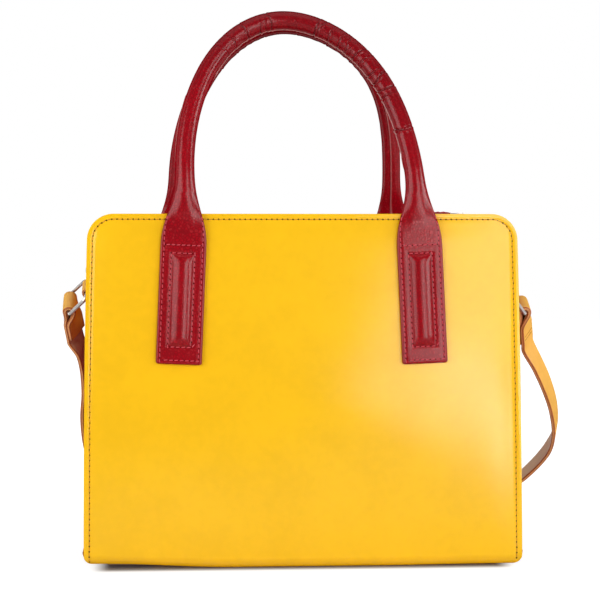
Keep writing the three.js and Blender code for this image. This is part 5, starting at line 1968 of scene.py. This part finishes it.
def make_chape(name):
    """The leather tab that holds a ring to the gusset."""
    tilt = CARRIERS[name][1]
    place, out, along, up = ring_frame(name)
    near = chape_near(tilt)
    half_gap = CHAPE_LEATHER / 2
    line = []
    for x, z in folded_end(CHAPE_LENGTH, CHAPE_TAPER, half_gap, LOOP_BORE + half_gap):
        lean = gusset_face(near + min(z, 0) * math.cos(tilt)) - gusset_face(near)
        sunk = -LOOP_BORE * float(ease(z, *CHAPE_SINK_SPAN))
        line.append(place + (x + lean + sunk) * out + z * up)
    piece = lay_strip(f"{name}_chape_leather", line, np.tile(along, (len(line), 1)), -out,
                      CHAPE_SHOWN_WIDTH, CHAPE_LEATHER)
    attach(piece, "bag")
    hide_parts(f"{name}_chape")
    side = CHAPE_SHOWN_WIDTH / 2 - CHAPE_SEAM_INSET
    top, bottom = CHAPE_SEAM_SPAN
    corners = [(-side, top), (side, top), (side, bottom), (-side, bottom), (-side, top)]
    guide = [place + CHAPE_SEAM_CLEARANCE * out + a * along + z * up for a, z in corners]
    sew(f"{name}_chape_stitches", "strap", [(guide, -out)], piece, "bag")


def make_ring(name):
    """A wire ring round its chape's fold and the strap's."""
    swing = CARRIERS[name][2]
    place, out, along, up = ring_frame(name)
    arm = math.sin(swing) * out - math.cos(swing) * up
    half = RING_INNER_WIDTH / 2 + WIRE_RADIUS
    outer = RING_CORNER - WIRE_RADIUS
    inner = RING_INNER_CORNER - WIRE_RADIUS
    corners = [(half - outer, RING_REACH - outer, 0, outer), (outer - half, RING_REACH - outer, 90, outer),
               (inner - half, inner, 180, inner), (half - inner, inner, 270, inner)]
    line = [place + u * along + v * arm for a, b, start, radius in corners
            for u, v in arc(a, b, radius, start, start + 90, 9)]
    piece = wire_loop(f"{name}_ring_wire", line, WIRE_RADIUS, "nickel", sides=18)
    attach(piece, f"{name}_ring")
    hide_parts(f"{name}_ring")


class SATCHEL_OT_strap(Operator):
    """Make both halves of the shoulder strap, folded round their rings"""

    bl_idname = "satchel.strap"
    bl_label = "Strap"

    def execute(self, context):
        for name in CARRIERS:
            make_strap(name)
        return {"FINISHED"}


class SATCHEL_OT_rings(Operator):
    """Make the side rings and the chapes that hold them"""

    bl_idname = "satchel.rings"
    bl_label = "Rings and Chapes"

    def execute(self, context):
        for name in CARRIERS:
            make_ring(name)
            make_chape(name)
        return {"FINISHED"}


# The stage

def make_camera(stage):
    """A camera that looks almost square at the front."""
    camera = bpy.data.objects.new("camera", bpy.data.cameras.new("camera"))
    bpy.context.scene.collection.objects.link(camera)
    camera.data.lens = stage.lens
    camera.data.sensor_width = SENSOR_WIDTH
    turn = stage.camera_turn
    front = Vector((0.0, -BASE_DEPTH / 2, 0.0))
    camera.location = front + Vector((math.sin(turn), -math.cos(turn), 0)) * stage.camera_distance
    camera.location.z = stage.camera_height
    aim = Vector((CAMERA_AIM_X, -BASE_DEPTH / 2, CAMERA_AIM_Z))
    camera.rotation_euler = (aim - camera.location).to_track_quat("-Z", "Y").to_euler()
    bpy.context.scene.camera = camera


def make_lamp(name, place, aim, size, power):
    """A rectangular lamp that faces a point."""
    data = bpy.data.lights.new(name, "AREA")
    data.shape = "RECTANGLE"
    data.size, data.size_y = size
    data.energy = power
    lamp = bpy.data.objects.new(name, data)
    bpy.context.scene.collection.objects.link(lamp)
    lamp.location = place
    lamp.rotation_euler = (Vector(aim) - Vector(place)).to_track_quat("-Z", "Z").to_euler()


def seen_directly(bench):
    """Camera rays, and those that metal or glass throws on, each as a value of 0 or 1."""
    camera = bench.add("ShaderNodeLightPath", {}, {}, "Is Camera Ray")
    thrown = camera.other("Is Glossy Ray") + camera.other("Is Transmission Ray")
    return camera, thrown


def make_room(stage):
    """Even dim light; the camera sees white, and so do shiny surfaces, but for the dark room in front."""
    world = bpy.data.worlds.new("room")
    world.use_nodes = True
    bpy.context.scene.world = world
    bench = Bench(world.node_tree)
    camera, thrown = seen_directly(bench)
    way = bench.add("ShaderNodeSeparateXYZ", {}, {0: bench.add("ShaderNodeTexCoord", output="Generated")})
    behind = bench.ramp(way.other(1), -0.05, 0.45)
    white = camera + (1 - camera) * thrown * behind
    strength = stage.room_light + white * (1.0 - stage.room_light)
    glow = bench.add("ShaderNodeBackground", {}, {"Color": (1, 1, 1, 1), "Strength": strength})
    bench.add("ShaderNodeOutputWorld", {}, {"Surface": glow})


def make_floor(stage):
    """A pale floor that keeps the bag's shadow, with a painted contact shadow in its own light under the
    bag, and runs out into the white of the room.
    """
    corners = [(-FLOOR_REACH, -FLOOR_REACH, 0), (FLOOR_REACH, -FLOOR_REACH, 0),
               (FLOOR_REACH, FLOOR_REACH, 0), (-FLOOR_REACH, FLOOR_REACH, 0)]
    mesh = bpy.data.meshes.new("floor")
    mesh.from_pydata(corners, [], [(0, 1, 2, 3)])
    floor = bpy.data.objects.new("floor", mesh)
    bpy.context.scene.collection.objects.link(floor)
    material, bench = bench_for("pale_floor")
    camera, thrown = seen_directly(bench)
    x = bench.add("ShaderNodeSeparateXYZ", {}, {0: bench.place()})
    y = x.other(1)
    behind = bench.ramp(y, -0.05, 0.3)
    white = camera + (1 - camera) * thrown * behind
    beside = x.larger(-1 * x) - BASE_WIDTH / 2
    before = y.larger(-1 * y) - BASE_DEPTH / 2
    # Painted contact shadow: the floor's own light falls to near black under the bag and in a band just in
    # front of and behind it
    under = bench.ramp(before, -0.004, 0.011, 1.0, 0.0) * bench.ramp(beside, -0.02, -0.003, 1.0, 0.0)
    far = bench.ramp(beside.larger(before), 0.03, 0.3)
    plain = bench.mix(far, opaque((stage.floor_glow,) * 3), (1.1, 1.1, 1.1, 1))
    glow = bench.mix(under, plain, (0.02, 0.012, 0.014, 1))
    light = bench.add("ShaderNodeEmission", {}, {0: glow})
    dull = bench.add("ShaderNodeBsdfDiffuse", {}, {"Color": (0.7, 0.7, 0.7, 1)})
    paper = bench.add("ShaderNodeBsdfDiffuse", {}, {"Color": (0.25, 0.25, 0.25, 1)})
    shown = bench.add("ShaderNodeAddShader", {}, {0: paper, 1: light})
    bench.output(bench.add("ShaderNodeMixShader", {}, {0: white, 1: dull, 2: shown}))
    mesh.materials.append(material)


class SATCHEL_OT_stage(Operator):
    """Set up the camera, the lamps, the room and the floor"""

    bl_idname = "satchel.stage"
    bl_label = "Stage"

    def execute(self, context):
        stage = context.scene.satchel_stage
        make_camera(stage)
        make_room(stage)
        make_floor(stage)
        for name, (place, aim, size) in LAMPS.items():
            make_lamp(name, place, aim, size, getattr(stage, f"{name}_power"))
        context.scene.view_settings.view_transform = "Standard"
        return {"FINISHED"}


class SATCHEL_PT_panel(Panel):
    """Sidebar panel that lists the satchel's pieces"""

    bl_idname = "SATCHEL_PT_panel"
    bl_label = "Satchel"
    bl_space_type = "VIEW_3D"
    bl_region_type = "UI"
    bl_category = "Satchel"

    def draw(self, context):
        column = self.layout.column(align=True)
        for step in STEPS:
            column.operator(step.bl_idname)


SETTINGS = {
    "satchel_body": SatchelBody,
    "satchel_handles": SatchelHandles,
    "satchel_sewing": SatchelSewing,
    "satchel_colours": SatchelColours,
    "satchel_stage": SatchelStage,
}

STEPS = (
    SATCHEL_OT_stage,
    SATCHEL_OT_strap,
    SATCHEL_OT_rings,
    SATCHEL_OT_body,
    SATCHEL_OT_gussets,
    SATCHEL_OT_lining,
    SATCHEL_OT_zip,
    SATCHEL_OT_handles,
)


def register():
    for name, group in SETTINGS.items():
        bpy.utils.register_class(group)
        setattr(bpy.types.Scene, name, PointerProperty(type=group))
    for step in STEPS:
        bpy.utils.register_class(step)
    bpy.utils.register_class(SATCHEL_PT_panel)


def unregister():
    bpy.utils.unregister_class(SATCHEL_PT_panel)
    for step in reversed(STEPS):
        bpy.utils.unregister_class(step)
    for name, group in reversed(SETTINGS.items()):
        delattr(bpy.types.Scene, name)
        bpy.utils.unregister_class(group)


def main():
    register()
    for step in STEPS:
        group, name = step.bl_idname.split(".")
        getattr(getattr(bpy.ops, group), name)()


if __name__ == "__main__":
    main()
